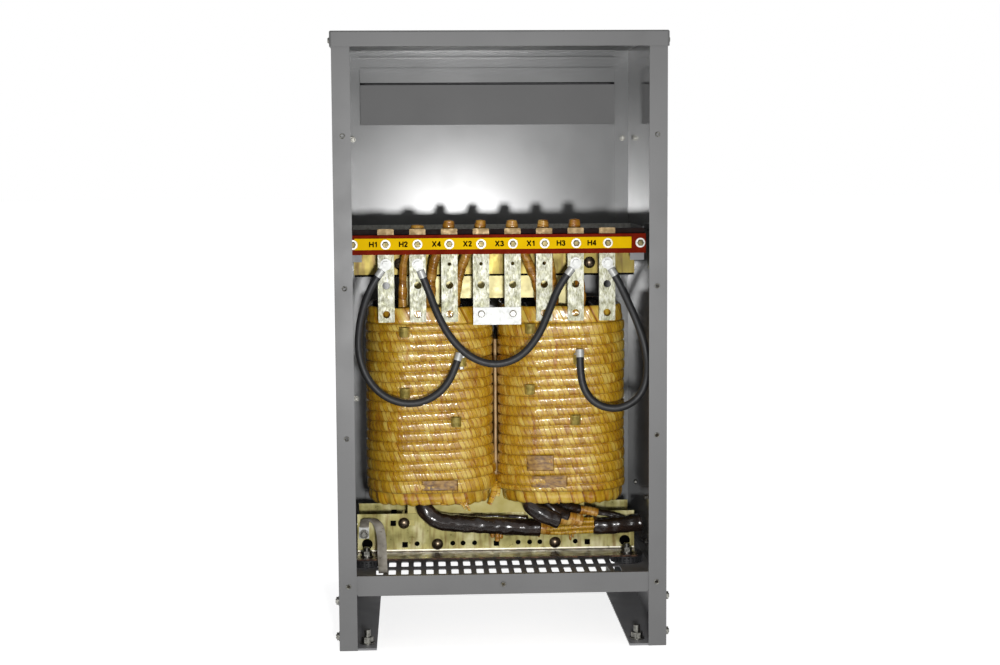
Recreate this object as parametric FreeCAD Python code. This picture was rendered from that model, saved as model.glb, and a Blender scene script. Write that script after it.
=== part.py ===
import FreeCAD, Part
import math
import os

# Ventilated dry-type power transformer in a floor cabinet, front cover left off.
# Millimetres. X to the right, Y to the rear, Z up, origin on the floor under the middle.

V = FreeCAD.Vector
os.makedirs("parts", exist_ok=True)

# ---- driving dimensions ----
FRAME_W = 604.0          # over the corner posts
FRAME_D = 570.0          # over the corner posts
FRONT = -FRAME_D / 2     # front face of the front posts
SHEET = 2.0              # cabinet sheet
POST_FLANGE = 33.0       # post face seen from the front
POST_SIDE = 40.0         # post leg on the cabinet's side
POST_BOTTOM_R = 5.0
LID_W = FRAME_W + 6.0
LID_D = FRAME_D + 6.0
LID_H = 28.0
TOTAL_H = 1129.0
LID_R = 4.0
LID_TOP_R = 3.0
COVER_HOLES_Z = (120.4, 394.4, 668.3, 942.3)
COVER_HOLE_X = FRAME_W / 2 - 18.2
COVER_HOLE_R = 3.2

FLOOR_TOP = 106.0
SLOT_W = 14.0
SLOT_L = 43.5
SLOT_PITCH_X = 24.3
SLOT_PITCH_Y = 65.7
SLOT_COLUMNS = 20
SLOT_ROWS = 8
FIRST_SLOT_Y = 44.7      # first row's middle behind the front face
SILL_TOP = 139.0
FOOT_W = 66.0
FOOT_T = 4.0
FOOT_TOP_W = 28.0
HOLD_DOWN_X = FRAME_W / 2 - 50.0
HOLD_DOWN_INSET = 39.0
SIDE_BOLT_Z = (24.0, 91.0)
SIDE_BOLT_INSET = 16.0

BACK_TOP = 1099.0
VENT_BOTTOM = 973.0
BAFFLE_TOP = 1056.0
VENT_TOP = 1089.6
LOWER_VENT_TOP = 194.0

CORE_Y = 52.0            # middle of the core, front to back
CORE_D = 110.0
LEG_X = 131.0
LEG_W = 90.0
YOKE_HALF = 176.0
YOKE_LOW = (151.0, 246.0)
YOKE_HIGH = (628.0, 723.0)

CLAMP_T = 3.0
CLAMP_H = 79.5
CLAMP_FOOT = 64.0
CLAMP_LOW_Z = 120.0
CLAMP_HIGH_Z = 675.5
CLAMP_HALF = 276.0
CLAMP_BOLT_R = 5.0
DOME_R = 11.5
DOME_H = 6.0
LOW_BOLTS = ((184.0, 180.5), (117.5, 137.0))
HIGH_BOLTS = ((187.0, 696.5), (117.5, 739.0))

COIL_W = 250.0
COIL_D = 270.0
COIL_R = 85.0
WINDING_Z = (253.0, 584.0)
COLLAR_TOP = 616.0
CUFF_BOTTOM = 234.0
TURNS = 17

BAR_PITCH = 60.5
BAR_W = 31.0
BAR_T = 6.0
BAR_Y = -103.0           # front face of the terminal bars
BAR_Z = (590.0, 768.5)
HOLE_SMALL = (3.5, 701.0)
HOLE_BIG_R = 7.15
HOLE_BIG_Z = (660.6, 605.2)
BOARD_HALF = 285.0
BOARD_T = 11.0
BOARD_Z = (720.0, 757.0)
LABEL_Z = (729.5, 751.0)
LABEL_X = (-271.0, 257.0)
BACK_STRIP_T = 12.0
BACK_STRIP_TOP = 767.0
BOARD_BOLT_Z = 739.5
END_BOLT_X = 274.0
BAR_NAMES = ("h1", "h2", "x4", "x2", "x3", "x1", "h3", "h4")
LINK_W = 91.5
LINK_Z = (584.3, 617.5)
LINK_T = 4.0

TAPS = ((-178, 570), (-178, 452), (-80, 395), (-69, 512), (64, 574), (63, 456), (151, 396), (157, 514))
TAP_R = 9.0
TAP_H = 19.0
CABLED_TAPS = (3, 7)

CABLE_D = 14.5
BARREL_R = 7.5
LUG_R = 11.0
LUG_REACH = 27.5        # hole to the mouth of the barrel
BARREL_L = 15.0
TAPED_D = 18.0
SLEEVE_D = 26.0
SPLICE_D = 30.0
THIN_SLEEVE_D = 14.0
STRAP_W = 18.0
STRAP_T = 1.5


# ---- helpers ----
def box(x0, x1, y0, y1, z0, z1):
    lo = V(min(x0, x1), min(y0, y1), min(z0, z1))
    return Part.makeBox(abs(x1 - x0), abs(y1 - y0), abs(z1 - z0), lo)


def along_x(x, y, z, r, length):
    return Part.makeCylinder(r, length, V(x, y, z), V(1, 0, 0))


def along_y(x, y, z, r, length):
    return Part.makeCylinder(r, length, V(x, y, z), V(0, 1, 0))


def along_z(x, y, z, r, length):
    return Part.makeCylinder(r, length, V(x, y, z), V(0, 0, 1))


def hexagon(centre, axis, flats, height):
    """A hexagonal prism of the given width across flats."""
    turn = FreeCAD.Rotation(V(0, 0, 1), axis)
    r = flats / math.sqrt(3)
    ring = [V(r * math.cos(math.radians(60 * i)), r * math.sin(math.radians(60 * i)), 0) for i in range(7)]
    side = Part.Face(Part.makePolygon(ring)).extrude(V(0, 0, height))
    side.Placement = FreeCAD.Placement(centre, turn)
    return side


def rounded(x0, x1, y0, y1, z0, z1, r):
    """A box with its four upright edges rounded."""
    body = box(x0, x1, y0, y1, z0, z1)
    upright = [e for e in body.Edges if abs(e.tangentAt(e.FirstParameter).z) > 0.9]
    return body.makeFillet(r, upright)


def joined(shapes):
    whole = shapes[0].fuse(shapes[1:]) if len(shapes) > 1 else shapes[0]
    return whole.removeSplitter()


def cut(body, tools):
    return body.cut(Part.makeCompound(tools)) if tools else body


def save(name, shapes):
    solids = []
    for shape in shapes:
        solids += shape.Solids
    shape = solids[0] if len(solids) == 1 else Part.makeCompound(solids)
    shape.exportStep("parts/" + name + ".step")
    print(name, len(solids), "solid(s)", round(shape.Volume / 1000), "cm3")


def mirror_x(shape):
    return shape.mirror(V(0, 0, 0), V(1, 0, 0))


def mirror_y(shape, about=0.0):
    return shape.mirror(V(0, about, 0), V(0, 1, 0))


def bent_tube(name, points, diameter):
    """A round tube along straight runs joined by tangent arcs."""
    pts = [V(*p) for p in points]
    radii = []
    path = []
    last = pts[0]
    for i in range(1, len(pts) - 1):
        before = pts[i] - pts[i - 1]
        after = pts[i + 1] - pts[i]
        turn = before.getAngle(after)
        keep = 0.45 * min(before.Length, after.Length)
        radii.append(keep / math.tan(turn / 2))
        a = pts[i] - before.normalize() * keep
        b = pts[i] + after.normalize() * keep
        middle_dir = ((a - pts[i]) + (b - pts[i])).normalize()
        reach = radii[-1] / math.cos(turn / 2) - radii[-1]
        path.append(Part.LineSegment(last, a).toShape())
        path.append(Part.Arc(a, pts[i] + middle_dir * reach, b).toShape())
        last = b
    path.append(Part.LineSegment(last, pts[-1]).toShape())
    wire = Part.Wire(path)
    start = (pts[1] - pts[0]).normalize()
    ring = Part.Wire(Part.makeCircle(diameter / 2, pts[0], start))
    tube = wire.makePipeShell([ring], True, False)
    due = math.pi * diameter ** 2 / 4 * wire.Length
    bends = ", ".join(str(round(r / diameter, 1)) for r in radii)
    print(name, "length", round(wire.Length), "bend radii in diameters", bends,
          "volume share", round(tube.Volume / due, 3))
    return tube


def screw_down(x, z, y_front, y_back, shank_r, flats, nut_t):
    """Bolt along Y: nut in front of y_front, head behind y_back."""
    return joined([
        hexagon(V(x, y_front - nut_t, z), V(0, 1, 0), flats, nut_t),
        along_y(x, y_front - nut_t, z, shank_r, y_back - y_front + nut_t * 1.7),
        hexagon(V(x, y_back, z), V(0, 1, 0), flats, nut_t * 0.7),
    ])


HALF_W = FRAME_W / 2
REAR = -FRONT
SIDE_IN = HALF_W - 2 * SHEET     # inner face of the side panels
FLOOR_UNDER = FLOOR_TOP - SHEET
LID_UNDER = TOTAL_H - SHEET


# ---- cabinet ----
def post():
    """Front right corner post: an angle from the floor to the lid."""
    face = box(HALF_W - POST_FLANGE, HALF_W, FRONT, FRONT + SHEET, 0, LID_UNDER)
    side = box(HALF_W - SHEET, HALF_W, FRONT, FRONT + POST_SIDE, 0, LID_UNDER)
    body = joined([face, side])
    corner = [e for e in body.Edges
              if abs(e.tangentAt(e.FirstParameter).y) > 0.9 and e.BoundBox.ZMax < 1
              and e.BoundBox.XMin > HALF_W - 1]
    body = body.makeFillet(POST_BOTTOM_R * 0.3, corner)
    holes = [along_y(COVER_HOLE_X, FRONT - 1, z, COVER_HOLE_R, SHEET + 2) for z in COVER_HOLES_Z]
    holes += [along_x(HALF_W - 5, FRONT + SIDE_BOLT_INSET, z, 4.3, 10) for z in SIDE_BOLT_Z]
    return cut(body, holes)


front_right = post()
save("post_front_right", [front_right])
save("post_front_left", [mirror_x(front_right)])
save("post_rear_right", [mirror_y(front_right)])
save("post_rear_left", [mirror_x(mirror_y(front_right))])

lid = rounded(-LID_W / 2, LID_W / 2, -LID_D / 2, LID_D / 2, TOTAL_H - LID_H, TOTAL_H, LID_R)
lid = lid.cut(rounded(-LID_W / 2 + SHEET, LID_W / 2 - SHEET, -LID_D / 2 + SHEET, LID_D / 2 - SHEET,
                      TOTAL_H - LID_H - 1, LID_UNDER, LID_R - SHEET))
top_edges = [e for e in lid.Edges if e.BoundBox.ZMin > TOTAL_H - 0.01]
save("lid", [lid.makeFillet(LID_TOP_R, top_edges)])

side_panel = box(SIDE_IN, SIDE_IN + SHEET, FRONT + SHEET, REAR - SHEET, FLOOR_UNDER, LID_UNDER)
save("side_panel_right", [side_panel])
save("side_panel_left", [mirror_x(side_panel)])

# Back panel with pressed vent slots above and below, shielded by inner baffles.
back = box(-HALF_W, HALF_W, REAR, REAR + SHEET, FLOOR_UNDER, BACK_TOP)
vents = []
for row in (985.0, 1005.0, 1025.0, 1045.0, 122.0, 142.0, 162.0):
    for column in range(-3, 4):
        vents.append(box(column * 72 - 27, column * 72 + 27, REAR - 1, REAR + SHEET + 1, row, row + 8))
for z in COVER_HOLES_Z:
    for side in (-1, 1):
        vents.append(along_y(side * COVER_HOLE_X, REAR - 1, z, COVER_HOLE_R, SHEET + 2))
save("back_panel", [cut(back, vents)])

BAFFLE_Y = REAR - 14.0
INNER_HALF = HALF_W - POST_FLANGE - 1.5
upper_baffle = joined([
    box(-INNER_HALF, INNER_HALF, BAFFLE_Y, BAFFLE_Y + SHEET, VENT_BOTTOM, BAFFLE_TOP),
    box(-INNER_HALF, INNER_HALF, BAFFLE_Y, REAR, VENT_BOTTOM, VENT_BOTTOM + SHEET),
    box(-INNER_HALF, INNER_HALF, BAFFLE_Y, BAFFLE_Y + 6, BAFFLE_TOP - SHEET, BAFFLE_TOP),
])
lower_baffle = joined([
    box(-INNER_HALF, INNER_HALF, BAFFLE_Y, BAFFLE_Y + SHEET, SILL_TOP + 8, LOWER_VENT_TOP),
    box(-INNER_HALF, INNER_HALF, BAFFLE_Y, REAR, LOWER_VENT_TOP - SHEET, LOWER_VENT_TOP),
])
save("rear_baffles", [upper_baffle, lower_baffle])

rear_rail = joined([
    box(-SIDE_IN, SIDE_IN, REAR - 2 * SHEET, REAR - SHEET, VENT_TOP, LID_UNDER),
    box(-INNER_HALF, INNER_HALF, REAR - 12, REAR - 2 * SHEET, VENT_TOP, VENT_TOP + SHEET),
    box(-INNER_HALF, INNER_HALF, REAR - 12, REAR - 10, BAFFLE_TOP + 5, VENT_TOP),
    box(-INNER_HALF, INNER_HALF, REAR - 26, REAR - 2 * SHEET, LID_UNDER - SHEET, LID_UNDER),
    box(-INNER_HALF, INNER_HALF, REAR - 16, REAR - 2 * SHEET, 1112, 1114),
])
front_rail = joined([
    box(-SIDE_IN, SIDE_IN, FRONT + SHEET, FRONT + 2 * SHEET, 1104, LID_UNDER),
    box(-SIDE_IN, SIDE_IN, FRONT + SHEET, FRONT + 26, LID_UNDER - SHEET, LID_UNDER),
])
save("top_rails", [front_rail, rear_rail])

sill = joined([
    box(-SIDE_IN, SIDE_IN, FRONT + SHEET, FRONT + 2 * SHEET, FLOOR_UNDER, SILL_TOP),
    box(-SIDE_IN + FOOT_TOP_W + 3, SIDE_IN - FOOT_TOP_W - 3, FRONT + SHEET, FRONT + 27,
        FLOOR_UNDER - SHEET, FLOOR_UNDER),
])
sill = cut(sill, [along_y(x, FRONT + 1, 121, COVER_HOLE_R, SHEET + 2)
                  for x in (-COVER_HOLE_X, 0, COVER_HOLE_X)])
save("sills", [sill, mirror_y(sill)])

ISOLATOR_X = 257.0
ISOLATOR_R = 33.0
ISOLATOR_FRONT_Y = -42.0
ISOLATOR_REAR_Y = 2 * CORE_Y - ISOLATOR_FRONT_Y
isolators = [(x, y) for x in (-ISOLATOR_X, ISOLATOR_X) for y in (ISOLATOR_FRONT_Y, ISOLATOR_REAR_Y)]

floor = box(-SIDE_IN, SIDE_IN, FRONT + 2 * SHEET, REAR - 2 * SHEET, FLOOR_UNDER, FLOOR_TOP)
slots = []
for row in range(SLOT_ROWS):
    y = FRONT + FIRST_SLOT_Y + row * SLOT_PITCH_Y
    for column in range(SLOT_COLUMNS):
        x = (column - (SLOT_COLUMNS - 1) / 2) * SLOT_PITCH_X
        slots.append(rounded(x - SLOT_W / 2, x + SLOT_W / 2, y - SLOT_L / 2, y + SLOT_L / 2,
                             FLOOR_UNDER - 1, FLOOR_TOP + 1, 3))
slots += [along_z(x, y, FLOOR_UNDER - 1, 6.4, SHEET + 2) for x, y in isolators]
save("floor_panel", [cut(floor, slots)])

# Skids: a channel under each side, foot on the ground.
skid = joined([
    box(HALF_W - SHEET - FOOT_W, HALF_W - SHEET, FRONT + SHEET, REAR - SHEET, 0, FOOT_T),
    box(HALF_W - SHEET - FOOT_T, HALF_W - SHEET, FRONT + SHEET, REAR - SHEET, 0, FLOOR_UNDER - FOOT_T),
    box(HALF_W - SHEET - FOOT_TOP_W, HALF_W - SHEET, FRONT + SHEET, REAR - SHEET,
        FLOOR_UNDER - FOOT_T, FLOOR_UNDER),
])
hold_down_y = (FRONT + HOLD_DOWN_INSET, REAR - HOLD_DOWN_INSET)
side_bolt_y = (FRONT + SIDE_BOLT_INSET, REAR - SIDE_BOLT_INSET)
skid = cut(skid, [along_z(HOLD_DOWN_X, y, -1, 6.4, FOOT_T + 2) for y in hold_down_y]
           + [along_x(HALF_W - 12, y, z, 4.3, 11) for y in side_bolt_y for z in SIDE_BOLT_Z])
save("skid_right", [skid])
save("skid_left", [mirror_x(skid)])

hold_downs = []
for x in (-HOLD_DOWN_X, HOLD_DOWN_X):
    for y in hold_down_y:
        hold_downs.append(joined([
            along_z(x, y, 0, 6.0, 30),
            along_z(x, y, FOOT_T, 14, 2.5),
            hexagon(V(x, y, FOOT_T + 2.5), V(0, 0, 1), 19, 10),
        ]))
save("hold_down_bolts", hold_downs)

side_bolts = []
for side in (-1, 1):
    for y in side_bolt_y:
        for z in SIDE_BOLT_Z:
            outer = V(side * HALF_W, y, z)
            out = V(side, 0, 0)
            side_bolts.append(joined([
                Part.makeCylinder(4.0, 22, outer - out * 15, out),
                hexagon(outer, out, 13, 5.5),
                Part.makeCylinder(9, 1.5, outer, out),
                hexagon(outer - out * 14, out, 13, 14 - FOOT_T - SHEET),
            ]))
save("side_bolts", side_bolts)


# ---- core and clamps ----
core_front = CORE_Y - CORE_D / 2
core_back = CORE_Y + CORE_D / 2
save("core_legs", [box(side * LEG_X - LEG_W / 2, side * LEG_X + LEG_W / 2, core_front, core_back,
                       YOKE_LOW[1], YOKE_HIGH[0]) for side in (-1, 1)])
for name, span in (("core_yoke_lower", YOKE_LOW), ("core_yoke_upper", YOKE_HIGH)):
    save(name, [box(-YOKE_HALF, YOKE_HALF, core_front, core_back, span[0], span[1])])


def square(x, z, size):
    """Cutter for a square hole in a clamp's web."""
    half = size / 2
    return box(x - half, x + half, core_front - CLAMP_T - 1, core_front + 1, z - half, z + half)


def lower_clamp():
    web_front = core_front - CLAMP_T
    body = joined([
        box(-CLAMP_HALF, CLAMP_HALF, web_front, core_front, CLAMP_LOW_Z, CLAMP_LOW_Z + CLAMP_H),
        box(-CLAMP_HALF, CLAMP_HALF, core_front - CLAMP_FOOT - CLAMP_T, core_front,
            CLAMP_LOW_Z, CLAMP_LOW_Z + CLAMP_T),
    ])
    holes = [square(x, 137, 11) for x in (-182, 0, 182)]
    holes += [square(x, 180.5, 11) for x in (-205, -168, 168, 205)]
    for x in (43.5, 66.5, 87, 158):
        holes += [along_y(s * x, web_front - 1, 138.5, 5, CLAMP_T + 2) for s in (-1, 1)]
    holes += [along_y(s * ISOLATOR_X, web_front - 1, 139, 10.75, CLAMP_T + 2) for s in (-1, 1)]
    holes += [along_y(s * x, web_front - 1, z, CLAMP_BOLT_R + 0.3, CLAMP_T + 2)
              for s in (-1, 1) for x, z in LOW_BOLTS]
    holes += [along_z(s * ISOLATOR_X, ISOLATOR_FRONT_Y, CLAMP_LOW_Z - 1, 6.4, CLAMP_T + 2) for s in (-1, 1)]
    return cut(body, holes)


def upper_clamp():
    web_front = core_front - CLAMP_T
    top = CLAMP_HIGH_Z + CLAMP_H
    body = joined([
        box(-CLAMP_HALF, CLAMP_HALF, web_front, core_front, CLAMP_HIGH_Z, top),
        box(-CLAMP_HALF, CLAMP_HALF, web_front, core_front + 34, top - CLAMP_T, top),
    ])
    holes = [square(s * 212, 696.5, 11) for s in (-1, 1)]
    holes += [along_y(s * x, web_front - 1, z, CLAMP_BOLT_R + 0.3, CLAMP_T + 2)
              for s in (-1, 1) for x, z in HIGH_BOLTS]
    return cut(body, holes)


low_front = lower_clamp()
high_front = upper_clamp()
save("lower_clamps", [low_front, mirror_y(low_front, CORE_Y)])
save("upper_clamps", [high_front, mirror_y(high_front, CORE_Y)])


def dome(x, y, z, r, h):
    """A carriage bolt's dome standing h in front of y."""
    ball_r = (r * r + h * h) / (2 * h)
    ball = Part.makeSphere(ball_r, V(x, y - h + ball_r, z))
    return ball.common(along_y(x, y - h - 1, z, r, h + 1))


web = core_front - CLAMP_T
through = CORE_D + 2 * CLAMP_T
clamp_bolts = []
for x, z in LOW_BOLTS + HIGH_BOLTS:
    for s in (-1, 1):
        clamp_bolts.append(joined([
            dome(s * x, web, z, DOME_R, DOME_H),
            along_y(s * x, web - 1, z, CLAMP_BOLT_R, through + 16),
            hexagon(V(s * x, web + through, z), V(0, 1, 0), 17, 9),
        ]))
save("clamp_bolts", clamp_bolts)

pads = []
studs = []
for x, y in isolators:
    pads.append(along_z(x, y, FLOOR_TOP, ISOLATOR_R, CLAMP_LOW_Z - FLOOR_TOP).cut(
        along_z(x, y, FLOOR_TOP - 1, 6.3, 20)))
    studs.append(joined([
        along_z(x, y, 92, 6.0, 49),
        hexagon(V(x, y, 94), V(0, 0, 1), 18, FLOOR_UNDER - 94),
        along_z(x, y, CLAMP_LOW_Z + CLAMP_T, 13, 2.5),
        hexagon(V(x, y, CLAMP_LOW_Z + CLAMP_T + 2.5), V(0, 0, 1), 18, 8),
    ]))
save("isolator_pads", pads)
save("isolator_studs", studs)


# ---- coils ----
def ring(x, half_w, half_d, r, z0, z1, inner_w, inner_d):
    body = rounded(x - half_w, x + half_w, CORE_Y - half_d, CORE_Y + half_d, z0, z1, r)
    return body.cut(rounded(x - inner_w, x + inner_w, CORE_Y - inner_d, CORE_Y + inner_d, z0 - 1, z1 + 1, 6))


def coil(x):
    """Winding block with taped turns, a collar on top and a cuff below."""
    hole_w = LEG_W / 2 + 2
    hole_d = CORE_D / 2 + 2
    groove = 2.0
    pitch = (WINDING_Z[1] - WINDING_Z[0]) / TURNS
    pieces = [ring(x, COIL_W / 2 - groove, COIL_D / 2 - groove, COIL_R - groove,
                   YOKE_LOW[1], WINDING_Z[1], hole_w, hole_d)]
    for turn in range(TURNS):
        z0 = WINDING_Z[0] + turn * pitch
        band = rounded(x - COIL_W / 2, x + COIL_W / 2, CORE_Y - COIL_D / 2, CORE_Y + COIL_D / 2,
                       z0 + 1.2, z0 + pitch - 1.2, COIL_R)
        pieces.append(band.cut(rounded(x - hole_w - 20, x + hole_w + 20, CORE_Y - hole_d - 20,
                                       CORE_Y + hole_d + 20, z0, z0 + pitch, 6)))
    pieces.append(ring(x, COIL_W / 2 - 12, COIL_D / 2 - 12, COIL_R - 12, WINDING_Z[1], COLLAR_TOP,
                       hole_w, hole_d))
    cuff = ring(x, COIL_W / 2 - 8, COIL_D / 2 - 8, COIL_R - 8, CUFF_BOTTOM, WINDING_Z[0], hole_w, hole_d)
    cuff = cuff.cut(box(-YOKE_HALF - 40, YOKE_HALF + 40, core_front - 12, core_back + 12,
                        CUFF_BOTTOM - 10, YOKE_LOW[1]))
    return joined(pieces + [s for s in cuff.Solids])


save("coil_left", [coil(-LEG_X)])
save("coil_right", [coil(LEG_X)])
save("coil_barrier", [box(-4.5, 4.5, CORE_Y - COIL_D / 2 + 30, CORE_Y + COIL_D / 2 - 30, YOKE_LOW[1], 560)])

coil_face = CORE_Y - COIL_D / 2


def coil_front_at(x):
    """Y of a coil's front surface at x, on its flat or its rounded corner."""
    into = max(0.0, abs(abs(x) - LEG_X) - (COIL_W / 2 - COIL_R))
    return coil_face + COIL_R - math.sqrt(COIL_R ** 2 - into ** 2)


def tap_y(x):
    return coil_front_at(x) - TAP_R - 1.5


taps = []
for x, z in TAPS:
    y = tap_y(x)
    back = min(coil_front_at(x - 5), coil_front_at(x + 5))
    body = joined([
        along_z(x, y, z - TAP_H / 2, TAP_R, TAP_H),
        box(x - 5, x + 5, y, back, z - 6, z + 6),
    ])
    taps.append(body.cut(along_z(x, y, z - TAP_H, 3.4, 2 * TAP_H)))
save("tap_terminals", taps)


# ---- terminal board ----
bar_xs = [(i - 3.5) * BAR_PITCH for i in range(8)]
bolt_xs = bar_xs + [-END_BOLT_X, END_BOLT_X]
board_front = BAR_Y - BOARD_T
strip_back = BAR_Y + BAR_T + BACK_STRIP_T
bolt_r = 4.0

board = box(-BOARD_HALF, BOARD_HALF, board_front, BAR_Y, BOARD_Z[0], BOARD_Z[1])
save("terminal_board", [cut(board, [along_y(x, board_front - 1, BOARD_BOLT_Z, bolt_r + 0.3, BOARD_T + 2)
                                    for x in bolt_xs])])
back_strip = box(-BOARD_HALF, BOARD_HALF, BAR_Y + BAR_T, strip_back, BOARD_Z[0], BACK_STRIP_TOP)
save("terminal_board_back", [cut(back_strip, [along_y(x, BAR_Y, BOARD_BOLT_Z, bolt_r + 0.3, 30)
                                              for x in bolt_xs])])
label = box(LABEL_X[0], LABEL_X[1], board_front - 0.8, board_front, LABEL_Z[0], LABEL_Z[1])
save("terminal_label", [cut(label, [along_y(x, board_front - 2, BOARD_BOLT_Z, 9.3, 4) for x in bolt_xs])])

bars = []
for x in bar_xs:
    bar = box(x - BAR_W / 2, x + BAR_W / 2, BAR_Y, BAR_Y + BAR_T, BAR_Z[0], BAR_Z[1])
    corners = [e for e in bar.Edges if abs(e.tangentAt(e.FirstParameter).y) > 0.9]
    bar = bar.makeFillet(2, corners)
    holes = [along_y(x, BAR_Y - 1, HOLE_SMALL[1], HOLE_SMALL[0], BAR_T + 2)]
    holes += [along_y(x, BAR_Y - 1, z, HOLE_BIG_R, BAR_T + 2) for z in HOLE_BIG_Z]
    holes.append(along_y(x, BAR_Y - 1, BOARD_BOLT_Z, bolt_r + 0.3, BAR_T + 2))
    bars.append(cut(bar, holes))
save("terminal_bars", bars)

board_bolts = []
for x in bolt_xs:
    board_bolts.append(joined([
        screw_down(x, BOARD_BOLT_Z, board_front, strip_back, bolt_r, 13, 7),
        along_y(x, board_front - 1.6, BOARD_BOLT_Z, 9, 1.6),
    ]))
save("board_bolts", board_bolts)

link_xs = (bar_xs[3], bar_xs[4])
link = box(-LINK_W / 2, LINK_W / 2, BAR_Y - LINK_T, BAR_Y, LINK_Z[0], LINK_Z[1])
save("link_plate", [cut(link, [along_y(x, BAR_Y - LINK_T - 1, HOLE_BIG_Z[1], 6.8, LINK_T + 2)
                               for x in link_xs])])
save("link_bolts", [screw_down(x, HOLE_BIG_Z[1], BAR_Y - LINK_T, BAR_Y + BAR_T, 6.3, 19, 9)
                    for x in link_xs])

# Support arms from the board back over the upper clamps, and a cross bar at their rear.
arm_top = CLAMP_HIGH_Z + CLAMP_H
arms = []
for side in (-1, 1):
    arm = joined([
        box(side * 258, side * 285, strip_back, core_back + 8, arm_top, arm_top + 3),
        box(side * 282, side * 285, strip_back, core_back + 8, arm_top, arm_top + 14),
        box(side * 258, side * 285, strip_back, strip_back + 3, 705, arm_top + 3),
    ])
    hole = along_y(side * END_BOLT_X, strip_back - 1, BOARD_BOLT_Z, bolt_r + 4.6, 5)
    arms.append(arm.cut(hole))
save("board_arms", arms)
save("board_cross_bar", [box(-281.5, 281.5, core_back - 6, core_back + 6, arm_top + 3, arm_top + 14)])


# ---- lugs and jumper cables ----
def bar_lug(x, lean):
    """Ring tongue on a bar's front, with its barrel leaning by lean along X."""
    z = HOLE_SMALL[1]
    way = V(lean, 0, -1).normalize()
    side = V(-way.z, 0, way.x) * (BARREL_R - 0.5)
    hub = V(x, BAR_Y - 3, z)
    reach = way * (LUG_REACH - 4)
    outline = [hub + side, hub + side + reach, hub - side + reach, hub - side, hub + side]
    mouth = V(x, BAR_Y - BARREL_R, z) + way * LUG_REACH
    body = joined([
        along_y(x, BAR_Y - 3, z, LUG_R, 3),
        Part.Face(Part.makePolygon(outline)).extrude(V(0, 3, 0)),
        Part.makeCylinder(BARREL_R, BARREL_L, mouth - way * BARREL_L, way),
        hexagon(V(x, BAR_Y - 10, z), V(0, 1, 0), 13, 7),
        along_y(x, BAR_Y - 4, z, HOLE_SMALL[0] - 0.3, BAR_T + 5),
    ])
    return body, mouth


def tap_lug(x, z, mouth, way):
    """Flat tongue on top of a tap tube, with its barrel hanging in front."""
    way = way.normalize()
    y = tap_y(x)
    top = z + TAP_H / 2
    body = joined([
        along_z(x, y, top, TAP_R, 2.5),
        box(min(x, mouth.x) - 5, max(x, mouth.x) + 5, mouth.y, y, top, top + 2.5),
        Part.makeCylinder(BARREL_R, BARREL_L, mouth, way),
        hexagon(V(x, y, top + 2.5), V(0, 0, 1), 10, 5),
        along_z(x, y, z - TAP_H / 2 - 4, 3.2, TAP_H + 5),
        hexagon(V(x, y, z - TAP_H / 2 - 5), V(0, 0, 1), 9, 5),
    ])
    return body


bar_x = dict(zip(BAR_NAMES, bar_xs))
lug_h1, mouth_h1 = bar_lug(bar_x["h1"], -0.69)
lug_h2, mouth_h2 = bar_lug(bar_x["h2"], 0.40)
lug_h3, mouth_h3 = bar_lug(bar_x["h3"], -0.76)
lug_h4, mouth_h4 = bar_lug(bar_x["h4"], 0.58)
left_tap, right_tap = (TAPS[i] for i in CABLED_TAPS)
mouth_left = V(left_tap[0] - 8, tap_y(left_tap[0]) - 18, left_tap[1] + 4)
mouth_right = V(right_tap[0] + 1.5, tap_y(right_tap[0]) - 19, right_tap[1] + 6)
lug_left = tap_lug(left_tap[0], left_tap[1], mouth_left, V(0.30, 0.15, 0.94))
lug_right = tap_lug(right_tap[0], right_tap[1], mouth_right, V(0.0, 0.16, 0.99))
save("cable_lugs", [lug_h1, lug_h2, lug_h3, lug_h4, lug_left, lug_right])

# Each cable hangs in a loop in front of the coils, from a bar's lug to its other lug.
JUMPER_LEFT = (
    (-239, -110.5, 662), (-254, -117, 626), (-264, -125, 583), (-266, -131, 538), (-254, -134, 494),
    (-227.5, -134, 457.5), (-187.5, -131.5, 437), (-145, -126, 437), (-108, -119, 458), (-86, -113, 489),
)
JUMPER_MIDDLE = (
    (-130.5, -110.5, 649.5), (-115, -118, 606), (-91, -126, 561), (-53, -133, 523), (-5, -136, 508),
    (43, -134.5, 523), (78, -128, 563), (100, -119, 613), (117.7, -110.5, 656.8),
)
JUMPER_RIGHT = (
    (235, -110.5, 660.8), (250, -117, 628), (267, -125, 588), (281, -131, 546), (287, -134, 502),
    (280.5, -134, 461), (260, -133, 434.5), (229, -131, 421.5), (196.5, -127, 426), (170.5, -121, 446.5),
    (158.5, -114.5, 484),
)
for name, first, route, last in (
    ("jumper_left", mouth_h1, JUMPER_LEFT, mouth_left),
    ("jumper_middle", mouth_h2, JUMPER_MIDDLE, mouth_h3),
    ("jumper_right", mouth_h4, JUMPER_RIGHT, mouth_right),
):
    print(name, "from", [round(c, 1) for c in first], "to", [round(c, 1) for c in last])
    save(name, [bent_tube(name, [first, *route, last], CABLE_D)])


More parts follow.
